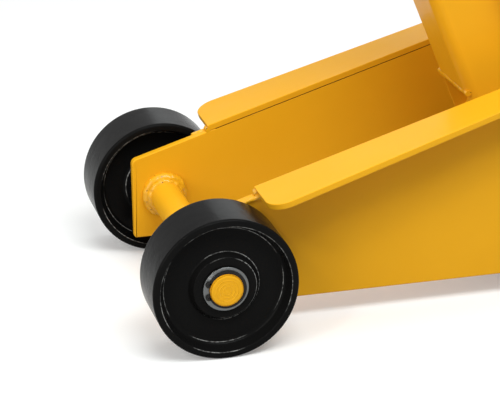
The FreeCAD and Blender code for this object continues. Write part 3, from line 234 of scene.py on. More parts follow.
@dataclass(frozen=True)
class Finish:
    """One surface finish and the record's slot that it belongs to.

    Attributes:
        slot: the record's material slot.
        colour: the main colour, linear.
        shade: a second colour that drifts over the surface.
        metallic: 1 for bare metal.
        roughness: the middle of the roughness range.
        spread: how far roughness drifts either way.
        grain: bumps per metre of the fine surface texture, and its depth in metres.
        swell: the same for the broad unevenness below it.
        brushed: how far the grain is stretched along X, Y and Z.
        speck: colour of small spots in the surface.
        speck_size: their size as a share of their spacing.
        specular: strength of the plain reflection.
        coat: strength of a clear gloss layer.
        wear_and_highlight: colour of wear along raised edges, and of the painted highlight lines
            at the rings' radii.
        wear: how much of it shows.
        name: tells apart finishes that share a slot.
        rings: radii of painted highlight lines round the front axle, in metres.
    """

    slot: str
    colour: Colour
    shade: Colour
    metallic: float = 0.0
    roughness: float = 0.4
    spread: float = 0.06
    grain: tuple[float, float] = (900.0, 0.00002)
    swell: tuple[float, float] = (60.0, 0.0001)
    brushed: tuple[float, float, float] = (1, 1, 1)
    speck: Colour = (0.02, 0.02, 0.02)
    speck_size: float = 0.0
    specular: float = 0.5
    coat: float = 0.0
    wear_and_highlight: Colour = (0.5, 0.5, 0.5)
    wear: float = 0.0
    name: str = "plain"
    rings: tuple[float, ...] = ()

    def material(self) -> bpy.types.Material:
        """The finish as a material, made once."""
        name = f"{self.slot}_{self.name}"
        if name in bpy.data.materials:
            return bpy.data.materials[name]
        paint = Painter(name)
        drift = paint.span(paint.noise(9.0, 4.0, 0.6), 0.3, 0.7, 0.0, 1.0)
        colour = paint.mixed(drift, self.colour, self.shade)
        if self.speck_size:
            colour = paint.mixed(paint.specks(260.0, self.speck_size), colour, self.speck)
        if self.wear:
            edge = paint.add("ShaderNodeNewGeometry").outputs["Pointiness"]
            raised = paint.span(edge, 0.52, 0.6, 0.0, self.wear)
            broken = paint.span(paint.noise(140.0, 4.0, 0.65), 0.45, 0.62, 0.0, 1.0)
            colour = paint.mixed(paint.calc(raised, broken, "MULTIPLY"), colour, self.wear_and_highlight)
        # Painted highlights: pale broken lines at the rings' radii that stand for glints on
        # rounded edges.
        if self.rings:
            colour = paint.mixed(paint.rings(self.rings), colour, self.wear_and_highlight)
        rough = paint.span(paint.noise(35.0, 5.0, 0.6, self.brushed), 0.3, 0.7,
                           self.roughness - self.spread, self.roughness + self.spread)
        broad = paint.bump(paint.noise(self.swell[0], 2.0), self.swell[1])
        grain = paint.noise(self.grain[0], 3.0, 0.6, self.brushed)
        paint.fill(paint.shader, {
            "Base Color": colour, "Roughness": rough,
            "Normal": paint.bump(grain, self.grain[1], Normal=broad),
            "Metallic": self.metallic, "Specular IOR Level": self.specular,
            "Coat Weight": self.coat, "Coat Roughness": COAT_ROUGHNESS})
        return paint.material


ENAMEL = Finish("yellow_paint", (0.85, 0.42, 0.014), (0.82, 0.395, 0.012), roughness=0.36,
                spread=0.05, grain=(420.0, 0.000022), swell=(45.0, 0.0002), speck_size=0.05,
                speck=(0.5, 0.23, 0.01), specular=0.08, coat=0.03)
WELDED = Finish("yellow_paint", (0.85, 0.45, 0.012), (0.72, 0.32, 0.009), roughness=0.3,
                grain=(700.0, 0.00012), swell=(260.0, 0.0005), speck_size=0.2,
                speck=(0.16, 0.06, 0.006), specular=0.1, coat=0.4, name="weld")
# Painted shade: a dark brown for the thin line that stands for the shadow in the gap where a
# flange sits on its plate.
SEAM_SHADE = Finish("yellow_paint", (0.10, 0.038, 0.004), (0.16, 0.06, 0.006), roughness=0.8,
                 specular=0.05, name="crevice")
# The wheel's rings and their pale colour are painted highlight lines on its lip and hub edges.
WHEEL = Finish("wheel_black", (0.0042, 0.0042, 0.0044), (0.0062, 0.006, 0.0058), roughness=0.22,
               spread=0.07, grain=(620.0, 0.00009), swell=(120.0, 0.0002), speck_size=0.05,
               speck=(0.02, 0.02, 0.02), specular=0.03, wear_and_highlight=(0.30, 0.30, 0.29),
               rings=(0.0496, 0.0452, 0.0269, 0.0236))
UNIT = Finish("unit_grey_paint", (0.016, 0.017, 0.019), (0.024, 0.025, 0.027), roughness=0.42,
              grain=(500.0, 0.0001), swell=(90.0, 0.0003), wear_and_highlight=(0.2, 0.2, 0.21), wear=0.5,
              specular=0.2)
ZINC = Finish("zinc_plated", (0.17, 0.175, 0.18), (0.12, 0.125, 0.125), metallic=1.0,
              roughness=0.34, spread=0.08, grain=(900.0, 0.00002), wear_and_highlight=(0.5, 0.5, 0.5),
              wear=0.6)
STEEL = Finish("bright_steel", (0.40, 0.40, 0.41), (0.33, 0.33, 0.33), metallic=1.0,
               roughness=0.3, spread=0.08, grain=(700.0, 0.00002), brushed=(1, 6, 1))
OXIDE = Finish("black_steel", (0.010, 0.010, 0.011), (0.018, 0.017, 0.016), roughness=0.44,
               grain=(420.0, 0.0002), swell=(120.0, 0.0004), specular=0.12)
CHROME = Finish("hard_chrome", (0.72, 0.73, 0.75), (0.68, 0.69, 0.71), metallic=1.0,
                roughness=0.1, spread=0.03, grain=(1500.0, 0.000004))
SPRING = Finish("spring_steel", (0.22, 0.22, 0.23), (0.16, 0.16, 0.165), metallic=1.0,
                roughness=0.34, grain=(1200.0, 0.00001))
SEAL = Finish("seal_rubber", (0.015, 0.015, 0.015), (0.02, 0.02, 0.02), roughness=0.6,
              specular=0.15)
GRIP = Finish("grip_rubber", (0.012, 0.012, 0.012), (0.02, 0.02, 0.021), roughness=0.62,
              grain=(1400.0, 0.00008), specular=0.15)
FINISH_OF = {made.slot: made for made in
             (ENAMEL, WHEEL, UNIT, ZINC, STEEL, OXIDE, CHROME, SPRING, SEAL, GRIP)}
SLOT_OF = {row["node"]: row["material_slot"] for row in frame["record"]["subparts"]}
BODY_OF = {name: body for body, names in frame["record"]["behaviour"]["bodies"].items()
           for name in names}


# ---- mesh making ----

def linked(name: str, mesh: bpy.types.Mesh) -> Piece:
    """A mesh as an object of the scene.

    Args:
        name: its name.
        mesh: its mesh.

    Returns:
        The object.
    """
    made = bpy.data.objects.new(name, mesh)
    bpy.context.scene.collection.objects.link(made)
    return made


def finished_mesh(name: str, work: bmesh.types.BMesh) -> Piece:
    """Turn a mesh in the making into an object.

    Args:
        name: its name.
        work: the mesh, freed here.

    Returns:
        The object.
    """
    mesh = bpy.data.meshes.new(name)
    work.to_mesh(mesh)
    work.free()
    return linked(name, mesh)


def baked(piece: Piece) -> Piece:
    """Turn an object and its modifiers into a plain mesh object of the same name.

    Args:
        piece: the object, removed here.

    Returns:
        The plain one.
    """
    graph = bpy.context.evaluated_depsgraph_get()
    mesh = bpy.data.meshes.new_from_object(piece.evaluated_get(graph))
    name, old = piece.name, piece.data
    bpy.data.objects.remove(piece)
    bpy.data.meshes.remove(old)
    mesh.name = name
    return linked(name, mesh)


def even_shading(piece: Piece) -> Piece:
    """Smooth a piece while its flats stay flat.

    Args:
        piece: the piece.

    Returns:
        The same, as a plain mesh.
    """
    piece.data.shade_smooth()
    weigh = piece.modifiers.new("weigh", "WEIGHTED_NORMAL")
    weigh.keep_sharp = True
    return baked(piece)


def dressed(piece: Piece, finish: Finish, body: str, *stands_for: str) -> Piece:
    """Give a piece its finish and its body, and hide what it stands for.

    Args:
        piece: a plain mesh object at the origin.
        finish: its surface.
        body: the moving body that carries it.
        stands_for: the model's nodes that it replaces.

    Returns:
        The same piece.
    """
    piece.data.materials.clear()
    piece.data.materials.append(finish.material())
    if stands_for:
        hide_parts(*stands_for)
    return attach(piece, body)


def softened(node: str, width: float, segments: int = 2, turn: float = 30.0) -> Piece:
    """A node's own shape with its hard edges rounded, standing in for the node.

    Args:
        node: the node's name.
        width: the width of the rounding, in metres.
        segments: facets across the rounding.
        turn: the sharpest edge that is left alone, in degrees.

    Returns:
        The dressed piece.
    """
    mesh = frame["nodes"][node].data.copy()
    for name in ("custom_normal", "UVMap"):
        if name in mesh.attributes:
            mesh.attributes.remove(mesh.attributes[name])
    work = bmesh.new()
    work.from_mesh(mesh)
    bmesh.ops.remove_doubles(work, verts=work.verts, dist=2e-6)
    bmesh.ops.dissolve_limit(work, angle_limit=math.radians(0.2), verts=work.verts,
                             edges=work.edges)
    work.to_mesh(mesh)
    work.free()
    piece = linked(f"{node}_finished", mesh)
    bevel = piece.modifiers.new("round", "BEVEL")
    bevel.width, bevel.segments = width, segments
    bevel.limit_method, bevel.angle_limit = "ANGLE", math.radians(turn)
    bevel.use_clamp_overlap = False
    bevel.miter_outer = "MITER_ARC"
    piece = even_shading(piece)
    return dressed(piece, FINISH_OF[SLOT_OF[node]], BODY_OF[node], node)


def soften_all(widths: dict[str, float], segments: int = 2) -> None:
    """Round the edges of several nodes, with the width of each in millimetres."""
    for node, width in widths.items():
        softened(node, width * MM, segments)


def rounded(corners: list[tuple[float, float, float]], closed: bool = True) -> Profile:
    """Round the corners of a profile.

    Args:
        corners: (radius, height, rounding) at each corner.
        closed: whether the last corner joins the first.

    Returns:
        The profile's points, with an arc at each rounded corner.
    """
    points: Profile = []
    count = len(corners)
    for i, (radius, height, rounding) in enumerate(corners):
        here = Vector((radius, height))
        if rounding <= 0 or (not closed and i in (0, count - 1)):
            points.append((radius, height))
            continue
        back = Vector(corners[i - 1][:2]) - here
        ahead = Vector(corners[(i + 1) % count][:2]) - here
        half = back.angle(ahead) / 2
        reach = min(rounding / math.tan(half), back.length * 0.49, ahead.length * 0.49)
        start, end = here + back.normalized() * reach, here + ahead.normalized() * reach
        steps = max(3, int((math.pi - 2 * half) / math.radians(14)))
        for step in range(steps + 1):
            share = step / steps
            points.append(tuple(start * (1 - share) ** 2 + here * 2 * share * (1 - share)
                                + end * share ** 2))
    return points


def lathed(name: str, profile: Profile, centre: Vector, axis: Axis, segments: int = 128,
           closed: bool = True) -> Piece:
    """Turn a profile about an axis.

    Args:
        name: the new object's name.
        profile: (radius, height) pairs in metres.
        centre: where height 0 lies on the axis.
        axis: the axis.
        segments: facets round the axis.
        closed: whether the last point joins the first.

    Returns:
        The turned piece.
    """
    along, out = axis.value
    side = along.cross(out)
    work = bmesh.new()
    rings = []
    for step in range(segments):
        turn = math.tau * step / segments
        away = out * math.cos(turn) + side * math.sin(turn)
        rings.append([work.verts.new(centre + away * r + along * h) for r, h in profile])
    count = len(profile) if closed else len(profile) - 1
    for step, ring in enumerate(rings):
        following = rings[(step + 1) % segments]
        for i in range(count):
            j = (i + 1) % len(profile)
            work.faces.new((ring[i], ring[j], following[j], following[i]))
    bmesh.ops.remove_doubles(work, verts=work.verts, dist=1e-7)
    bmesh.ops.recalc_face_normals(work, faces=work.faces)
    return even_shading(finished_mesh(name, work))


def joined(name: str, pieces: list[Piece]) -> Piece:
    """Several plain mesh objects as one.

    Args:
        name: its name.
        pieces: the objects, removed here.

    Returns:
        The joined object.
    """
    work = bmesh.new()
    for piece in pieces:
        work.from_mesh(piece.data)
        bpy.data.objects.remove(piece)
    return finished_mesh(name, work)


# ---- node trees for what repeats or follows a path ----

class Recipe(Layout):
    """A geometry node tree with named inputs, and the objects that it makes."""

    def __init__(self, name: str, inputs: dict[str, str]) -> None:
        """Start a tree.

        Args:
            name: the tree's name.
            inputs: socket types by input name.
        """
        super().__init__(bpy.data.node_groups.new(name, "GeometryNodeTree"))
        face = self.tree.interface
        self.sockets = {}
        for label, kind in {"Path": "NodeSocketGeometry", **inputs,
                            "Finish": "NodeSocketMaterial"}.items():
            self.sockets[label] = face.new_socket(label, in_out="INPUT", socket_type=kind)
        face.new_socket("Result", in_out="OUTPUT", socket_type="NodeSocketGeometry")
        self.given = self.tree.nodes.new("NodeGroupInput").outputs

    def tube(self, curve: Socket, radius: Socket, sides: int) -> Socket:
        """A capped round tube along a curve.

        Args:
            curve: the curve.
            radius: the tube's radius.
            sides: facets round it.

        Returns:
            The tube.
        """
        section = self.out("GeometryNodeCurvePrimitiveCircle", {"Resolution": sides,
                                                                "Radius": radius})
        return self.out("GeometryNodeCurveToMesh", {"Curve": curve, "Profile Curve": section,
                                                    "Fill Caps": True})

    def copies(self, shape: Socket, **turn: Socket) -> Socket:
        """Copies of a shape at the path's points."""
        points = self.out("GeometryNodeMeshToPoints", {"Mesh": self.given["Path"]})
        return self.out("GeometryNodeInstanceOnPoints", {"Points": points, "Instance": shape,
                                                         **turn})

    def end(self, result: Socket) -> None:
        """Close the tree with real geometry that has its material.

        Args:
            result: what the tree has made.
        """
        real = self.out("GeometryNodeRealizeInstances", {"Geometry": result})
        smooth = self.out("GeometryNodeSetShadeSmooth", {"Geometry": real})
        coloured = self.out("GeometryNodeSetMaterial", {"Geometry": smooth,
                                                        "Material": self.given["Finish"]})
        self.add("NodeGroupOutput", {0: coloured})

    def make(self, name: str, path: list[Vector], closed: bool, finish: Finish,
             **values: object) -> Piece:
        """Run the tree along a path and keep the result as a plain mesh.

        Args:
            name: the new piece's name.
            path: the path's points.
            closed: whether the path is a loop.
            finish: the piece's surface.
            values: the tree's inputs by name, with spaces written as underscores.

        Returns:
            The piece, not yet riding on a body.
        """
        mesh = bpy.data.meshes.new(name)
        edges = [(i, i + 1) for i in range(len(path) - 1)]
        if closed:
            edges.append((len(path) - 1, 0))
        mesh.from_pydata(path, edges, [])
        piece = linked(name, mesh)
        modifier = piece.modifiers.new("recipe", "NODES")
        modifier.node_group = self.tree
        modifier[self.sockets["Finish"].identifier] = finish.material()
        for label, value in values.items():
            modifier[self.sockets[label.replace("_", " ")].identifier] = value
        return baked(piece)


def weld_recipe() -> Recipe:
    """A rippled, slightly lumpy weld bead that tapers at open ends."""
    made = Recipe("weld_bead", dict.fromkeys(("Bead", "Pitch", "Ripple", "Lumps", "Seed"),
                                             "NodeSocketFloat"))
    given = made.given
    curve = made.out("GeometryNodeMeshToCurve", {"Mesh": given["Path"]})
    step = made.calc(given["Pitch"], STEPS_PER_RIPPLE, "MULTIPLY")
    fine = made.out("GeometryNodeResampleCurve", {"Curve": curve, "Length": step}, mode="LENGTH")
    along = made.add("GeometryNodeSplineParameter").outputs["Length"]
    total = made.add("GeometryNodeSplineLength").outputs["Length"]
    phase = made.calc(made.calc(along, given["Pitch"], "DIVIDE"), math.tau, "MULTIPLY")
    ripple = made.calc(made.calc(phase, 0.0, "SINE"), given["Ripple"], "MULTIPLY")
    left = made.calc(made.calc(total, along, "SUBTRACT"), along, "MINIMUM")
    fade = made.out("ShaderNodeMath", {0: made.calc(left, given["Bead"], "DIVIDE"),
                                       1: TIP_SHARE}, operation="ADD", use_clamp=True)
    share = made.out("GeometryNodeSwitch", {
        "Switch": made.out("GeometryNodeInputSplineCyclic"), "False": fade, "True": 1.0},
        input_type="FLOAT")
    size = made.calc(made.calc(ripple, 1.0, "ADD"), share, "MULTIPLY")
    sized = made.out("GeometryNodeSetCurveRadius", {"Curve": fine, "Radius": size})
    lumps = made.add("ShaderNodeTexNoise", {"Scale": 210.0, "Detail": 2.0, "W": given["Seed"]},
                     noise_dimensions="4D").outputs["Color"]
    push = made.out("ShaderNodeVectorMath", {
        0: made.vector(lumps, (0.5, 0.5, 0.5), "SUBTRACT"), "Scale": given["Lumps"]},
        operation="SCALE")
    made.end(made.out("GeometryNodeSetPosition", {
        "Geometry": made.tube(sized, given["Bead"], 12), "Offset": push}))
    return made


def coil_recipe() -> Recipe:
    """Round wire wound into a coil along X from the path's first point."""
    made = Recipe("coil", dict.fromkeys(("Turns", "Radius", "Length", "Wire"),
                                        "NodeSocketFloat"))
    given = made.given
    spiral = made.out("GeometryNodeCurveSpiral", {
        "Resolution": 20, "Rotations": given["Turns"], "Start Radius": given["Radius"],
        "End Radius": given["Radius"], "Height": given["Length"]})
    made.end(made.copies(made.out("GeometryNodeTransform", {
        "Geometry": made.tube(spiral, given["Wire"], 10), "Rotation": (0, math.pi / 2, 0)})))
    return made


def repeat_recipe() -> Recipe:
    """Copies of one object at every point of the path, all turned alike."""
    made = Recipe("repeat", {"Shape": "NodeSocketObject", "Turn": "NodeSocketFloat"})
    shape = made.add("GeometryNodeObjectInfo", {"Object": made.given["Shape"]})
    turn = made.out("ShaderNodeCombineXYZ", {"Y": made.given["Turn"]})
    made.end(made.copies(shape.outputs["Geometry"], Rotation=turn))
    return made


WELD, COIL, REPEAT = weld_recipe(), coil_recipe(), repeat_recipe()


def loop_points(centre: Vector, axis: Axis, radius: float, count: int = 72,
                start: float = 0.0, sweep: float = math.tau) -> list[Vector]:
    """Points of a circle or an arc round an axis.

    Args:
        centre: the circle's middle.
        axis: its axis.
        radius: its radius in metres.
        count: how many points.
        start: the first point's angle.
        sweep: the angle that the points cover.

    Returns:
        The points.
    """
    along, out = axis.value
    side = along.cross(out)
    steps = count if sweep >= math.tau else count - 1
    return [centre + (out * math.cos(start + sweep * i / steps)
                      + side * math.sin(start + sweep * i / steps)) * radius
            for i in range(count)]


def bead(name: str, path: list[Vector], closed: bool, body: str, size: float,
         seed: float, lumps: float = 0.5) -> Piece:
    """A painted weld bead along a path.

    Args:
        name: the piece's name.
        path: the bead's middle line.
        closed: whether it is a loop.
        body: the body that carries it.
        size: the bead's radius in metres.
        seed: which pattern of lumps it has.
        lumps: the lumps' height as a share of the size.

    Returns:
        The dressed bead.
    """
    made = WELD.make(name, path, closed, WELDED, Bead=size, Pitch=size * 0.85, Ripple=0.12,
                     Lumps=size * lumps, Seed=seed)
    return dressed(made, WELDED, body)


def middle(node: str) -> Vector:
    """The middle of a node's box."""
    low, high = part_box(node)
    return (low + high) / 2


def size_of(node: str) -> Vector:
    """The size of a node's box."""
    low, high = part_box(node)
    return high - low


# ---- the jack's sub-assemblies ----

@dataclass
class Wheel:
    """A cast front wheel, open on both faces, with a crowned tread."""

    lip: float = 49.3 * MM
    back_slope: float = 1.5 * MM
    recess: float = 45 * MM
    recess_depth: float = 10 * MM
    hub_foot: float = 27 * MM
    hub_boss: float = 23.7 * MM
    hub_setback: float = 4.7 * MM
    inner_hub: float = 24 * MM
    bore: float = 12.6 * MM
    tread_rounding: float = 9 * MM

    def build(self, side: str) -> None:
        """Make the wheel of one side.

        Args:
            side: near or far.
        """
        node = f"{side}_front_wheel"
        low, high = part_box(node)
        outward = -1 if side == "near" else 1
        half, radius = (high.y - low.y) / 2, (high.z - low.z) / 2
        corners = [
            (self.bore, -half, 0.4 * MM), (self.inner_hub, -half, 1.2 * MM),
            (self.hub_foot, -half + self.recess_depth, 3 * MM),
            (self.recess, -half + self.recess_depth, 4 * MM), (self.lip, -half, 1.1 * MM),
            (radius, -half, self.tread_rounding), (radius, half, self.tread_rounding),
            (self.lip, half, 1.1 * MM),
            (self.recess + self.back_slope, half - self.recess_depth, 4.5 * MM),
            (self.hub_foot, half - self.recess_depth, 2.6 * MM),
            (self.hub_boss, half - self.hub_setback, 1.3 * MM),
            (self.bore, half - self.hub_setback, 0.5 * MM)]
        profile = [(r, h * outward) for r, h in rounded(corners)]
        wheel = lathed(f"{side}_cast_wheel", profile, (low + high) / 2, Axis.Y, 192)
        dressed(wheel, WHEEL, node, node)


@dataclass
class FrontAxle:
    """The front axle with its wheels, washers and open circlips."""

    weld_size: float = 4.2 * MM
    weld_leg: float = 4.1 * MM
    clip_wire: float = 3.2 * MM
    clip_gap: float = 42.0
    clip_half: float = 0.75 * MM
    clip_leaf: float = 0.72 * MM
    clip_bore: float = 11.9 * MM
    pivot_clip_bore: float = 14.4 * MM
    clip_end: float = 0.62
    shaft_proud: float = 3 * MM
    lug: float = 2.4 * MM
    lug_eye: float = 0.8 * MM
    washer_thick: float = 2 * MM
    turned: tuple[float, ...] = (3.0 * MM, 5.6 * MM, 8.2 * MM)
    turned_half: float = 0.8 * MM
    turned_rise: float = 0.14 * MM
    turned_sunk: float = 0.2 * MM
    wheel: Wheel = field(default_factory=Wheel)

    def build(self) -> None:
        """Make the whole axle."""
        for side in ("near", "far"):
            self.wheel.build(side)
            self.weld(side)
        softened("front_axle", 0.9 * MM, 3)
        self.turned_ends()
        softened("wheel_spacers", 0.5 * MM)
        self.washers()
        self.circlips()

    def weld(self, side: str) -> None:
        """The heavy bead where the axle meets the inner face of a side plate.

        Args:
            side: near or far.
        """
        low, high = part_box(f"{side}_side_plate")
        centre = middle("front_axle")
        radius = size_of("front_axle").z / 2
        inward = 1 if side == "near" else -1
        face = high.y if side == "near" else low.y
        root = loop_points(Vector((centre.x, face + 1.2 * MM * inward, centre.z)), Axis.Y,
                           radius + self.weld_size * 0.45)
        toe = loop_points(Vector((centre.x, face + self.weld_leg * inward, centre.z)), Axis.Y,
                          radius - self.weld_size * 0.3)
        bead(f"{side}_axle_weld_root", root, True, "frame", self.weld_size, 3.0, 0.8)
        bead(f"{side}_axle_weld_toe", toe, True, "frame", self.weld_size * 0.95, 5.0, 0.8)

    def turned_ends(self) -> None:
        """Faint raised rings that turning left on the painted ends of the axle."""
        low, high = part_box("front_axle")
        centre = (low + high) / 2
        rings = []
        for outward, face in ((-1, low.y), (1, high.y)):
            for radius in self.turned:
                foot, crest = -self.turned_sunk * outward, self.turned_rise * outward
                corners = [(radius - self.turned_half, foot, 0), (radius, crest, 0.1 * MM),
                           (radius + self.turned_half, foot, 0)]
                spot = Vector((centre.x, face, centre.z))
                rings.append(lathed("ring", rounded(corners), spot, Axis.Y, 64))
        dressed(joined("axle_end_rings", rings), ENAMEL, "frame")

    def washers(self) -> None:
        """Both plated washers."""
        low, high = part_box("wheel_washers")
        centre, outer = (low + high) / 2, (high.z - low.z) / 2
        inner = size_of("front_axle").z / 2
        sides = []
        for outward in (-1, 1):
            face = (high.y if outward > 0 else low.y) - centre.y
            back = face - self.washer_thick * outward
            corners = [(inner, back, 0.2 * MM), (outer, back, 0.5 * MM), (outer, face, 0.7 * MM),
                       (inner, face, 0.3 * MM)]
            sides.append(lathed(f"washer{outward}", rounded(corners), centre, Axis.Y, 96))
        dressed(joined("plated_washers", sides), ZINC, "frame", "wheel_washers")

    def circlips(self) -> None:
        """The open rings on the axle ends, with lugs, and the rings on the pivot shaft."""
        axle, pivot = middle("front_axle"), middle("arm_pivot_shaft")
        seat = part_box("arm_pivot_shaft")[1].y - self.shaft_proud - self.clip_half
        clips = []
        for outward in (-1, 1):
            face = (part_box("wheel_washers")[1].y + self.clip_half) * outward
            start = math.radians(90 + self.clip_gap / 2)
            clips.append(self.ring(Vector((axle.x, face, axle.z)), self.clip_bore, start))
            clips.append(self.ring(Vector((pivot.x, seat * outward, pivot.z)),
                                   self.pivot_clip_bore, start + math.pi))
        dressed(joined("shaft_circlip_rings", clips), OXIDE, "frame", "shaft_circlips")

    def ring(self, centre: Vector, inner: float, start: float) -> Piece:
        """One open ring with an eyed lug at each end.

        Args:
            centre: the ring's middle.
            inner: its inner radius.
            start: the angle of its first end.

        Returns:
            The ring.
        """
        sweep = math.radians(360 - self.clip_gap)
        work = bmesh.new()
        half, steps, sections = self.clip_leaf, 64, []
        for step in range(steps + 1):
            angle = start + sweep * step / steps
            share = math.sin(math.pi * step / steps)
            outer = inner + self.clip_wire * (self.clip_end + (1 - self.clip_end) * share)
            away = Vector((-math.sin(angle), 0, math.cos(angle)))
            sections.append([work.verts.new(centre + away * radius + Vector((0, rise, 0)))
                             for radius, rise in ((inner, -half), (outer, -half), (outer, half),
                                                  (inner, half))])
        for first, second in zip(sections, sections[1:]):
            for i in range(4):
                j = (i + 1) % 4
                work.faces.new((first[i], first[j], second[j], second[i]))
        work.faces.new(sections[0])
        work.faces.new(reversed(sections[-1]))
        bmesh.ops.recalc_face_normals(work, faces=work.faces)
        parts = [finished_mesh("circlip_ring", work)]
        for angle in (start, start + sweep):
            away = Vector((-math.sin(angle), 0, math.cos(angle)))
            spot = centre + away * (inner + self.lug * 0.95)
            corners = [(self.lug_eye, -half, 0.1 * MM), (self.lug, -half, 0.3 * MM),
                       (self.lug, half, 0.3 * MM), (self.lug_eye, half, 0.1 * MM)]
            parts.append(lathed("circlip_lug", rounded(corners), spot, Axis.Y, 24))
        return joined("circlip", parts)


@dataclass
class Chassis:
    """The two flanged side plates with everything welded between and on them."""

    edge: float = 1.0 * MM
    flange_edge: float = 0.6 * MM
    seam: float = 2.2 * MM
    # Radius of the painted shade line in a flange's inner seam.
    gap: float = 0.22 * MM
    slope: float = math.radians(17.2)
    stitch: float = 45 * MM
    stitch_pitch: float = 118 * MM
    stitch_start: float = 22 * MM
    # Distances along a flange from its front corner, in millimetres.
    toe_runs: tuple[float, ...] = (-2, 3, 8, 13)
    seam_runs: tuple[float, ...] = (6, 120, 246)
    # Shares of the plate's thickness, from its inner face to its outer one.
    end_shares: tuple[float, ...] = (0.02, 0.35, 0.7, 1.04)
    tie_bead: float = 2.6 * MM
    pin_bead: float = 1.8 * MM
    pin_radius: float = 7 * MM

    def build(self) -> None:
        """Make the welded frame."""
        for side in ("near", "far"):
            softened(f"{side}_side_plate", self.edge, 3)
            softened(f"{side}_top_flange", self.flange_edge, 3)
            self.flange_welds(side)
        softened("frame_tie_tube", 0.6 * MM)
        softened("caster_outriggers", 0.9 * MM, 3)
        soften_all({"rod_anchor_pins": 0.5, "spring_anchor_pins": 0.5})
        self.tube_welds()

    def flange_welds(self, side: str) -> None:
        """The bead at a flange's front end, the stitches under its outer overhang and a dark
        line of painted shade along its inner seam.

        Args:
            side: near or far.
        """
        low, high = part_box(f"{side}_side_plate")
        front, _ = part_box(f"{side}_top_flange")
        outward = -1 if side == "near" else 1
        outer = low.y if side == "near" else high.y
        inner = high.y if side == "near" else low.y
        ahead = Vector((math.cos(self.slope), 0, math.sin(self.slope)))
        corner = Vector((front.x + 1.2 * MM, 0, front.z))
        across = [corner + Vector((-0.3 * MM, inner + (outer - inner) * share, 0.8 * MM))
                  for share in self.end_shares]
        bead(f"{side}_flange_end_weld", across, False, "frame", 2.3 * MM, 7.0 + outward, 0.9)
        beside = [corner + Vector((0, outer + outward * 0.6 * MM, -1.2 * MM)) - ahead * run * MM
                  for run in self.toe_runs]
        bead(f"{side}_flange_toe_weld", beside, False, "frame", 1.8 * MM, 9.0 + outward, 1.1)
        # A thin dark tube along the flange's inner seam: painted shade for the gap between
        # flange and plate.
        seam_shade_path = [corner + Vector((0, inner, 0)) + ahead * run * MM for run in self.seam_runs]
        line = WELD.make(f"{side}_flange_seam", seam_shade_path, False, SEAM_SHADE, Bead=self.gap,
                         Pitch=4 * MM, Ripple=0.0, Lumps=0.1 * MM, Seed=2.0)
        dressed(line, SEAM_SHADE, "frame")
        begin = corner + ahead * self.stitch_start
        begin += Vector((0, outer + outward * 1.2 * MM, -1.6 * MM))
        stitches = [[begin + ahead * (i * self.stitch_pitch + self.stitch * share)
                     for share in (0, 0.5, 1)] for i in range(2)]
        made = [WELD.make(f"stitch_{i}", path, False, WELDED, Bead=self.seam,
                          Pitch=self.seam * 0.9, Ripple=0.14, Lumps=self.seam * 0.4,
                          Seed=11.0 + i) for i, path in enumerate(stitches)]
        dressed(joined(f"{side}_flange_stitches", made), WELDED, "frame")

    def tube_welds(self) -> None:
        """Rings of weld where the tie tube and the anchor pins meet the plates."""
        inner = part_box("far_side_plate")[0].y
        rings = []
        for node, size, radius in (
                ("frame_tie_tube", self.tie_bead, size_of("frame_tie_tube").z / 2),
                ("rod_anchor_pins", self.pin_bead, self.pin_radius)):
            centre = middle(node)
            for outward in (-1, 1):
                spot = Vector((centre.x, (inner - size * 0.3) * outward, centre.z))
                path = loop_points(spot, Axis.Y, radius + size * 0.4)
                rings.append(WELD.make("ring", path, True, WELDED, Bead=size, Pitch=size * 0.9,
                                       Ripple=0.12, Lumps=size * 0.4, Seed=21.0 + len(rings)))
        dressed(joined("frame_tube_welds", rings), WELDED, "frame")


@dataclass
class LiftArm:
    """The tapering box arm with its pivot tube, horn and rollers."""

    weld_size: float = 2.4 * MM
    angle: float = math.radians(63.3)
    web_start: float = 45.5 * MM
    web_depth: float = 37.2 * MM
    # Where the web's bead runs from side to side, in millimetres.
    web_across: tuple[float, ...] = (-31, -20, -7, 7, 20, 31)
    tube_bead: float = 1.6 * MM

    def build(self) -> None:
        """Make the arm."""
        softened("arm_channel", 0.8 * MM, 2, 40)
        soften_all({"arm_cover": 0.7, "arm_pivot_tube": 0.6, "arm_horn_cheeks": 0.8,
                    "push_roller_pin": 0.5, "push_roller": 0.7, "arm_pivot_shaft": 0.5,
                    "pivot_spacer_tubes": 0.5, "yoke_pin": 0.8})
        centre, half = middle("arm_pivot_tube"), size_of("arm_pivot_tube").y / 2
        radius = size_of("arm_pivot_tube").z / 2
        rings = []
        for outward in (-1, 1):
            spot = centre + Vector((0, (half - 0.6 * MM) * outward, 0))
            path = loop_points(spot, Axis.Y, radius - 0.5 * MM)
            rings.append(WELD.make("ring", path, True, WELDED, Bead=self.tube_bead,
                                   Pitch=self.tube_bead, Ripple=0.12, Lumps=0.7 * MM,
                                   Seed=31.0 + outward))
        dressed(joined("arm_tube_welds", rings), WELDED, "lift_arm")
        self.web_weld(centre)

    def web_weld(self, pivot: Vector) -> None:
        """The bead along the lower end of the arm's front web.

        Args:
            pivot: the middle of the arm's pivot.
        """
        along = Vector((-math.cos(self.angle), 0, math.sin(self.angle)))
        forward = Vector((-math.sin(self.angle), 0, -math.cos(self.angle)))
        edge = pivot + along * self.web_start + forward * self.web_depth
        path = [edge + Vector((0, across * MM, 0)) for across in self.web_across]
        bead("arm_web_weld", path, False, "lift_arm", self.weld_size, 41.0, 0.9)


@dataclass
class SaddleHead:
    """The yoke, its levelling rods and the swivelling saddle."""

    def build(self) -> None:
        """Make the head."""
        softened("saddle_yoke", 1.2 * MM, 3)
        soften_all({"yoke_level_pin": 0.6, "radius_rods": 0.7})
        softened("saddle", 1.4 * MM, 3)


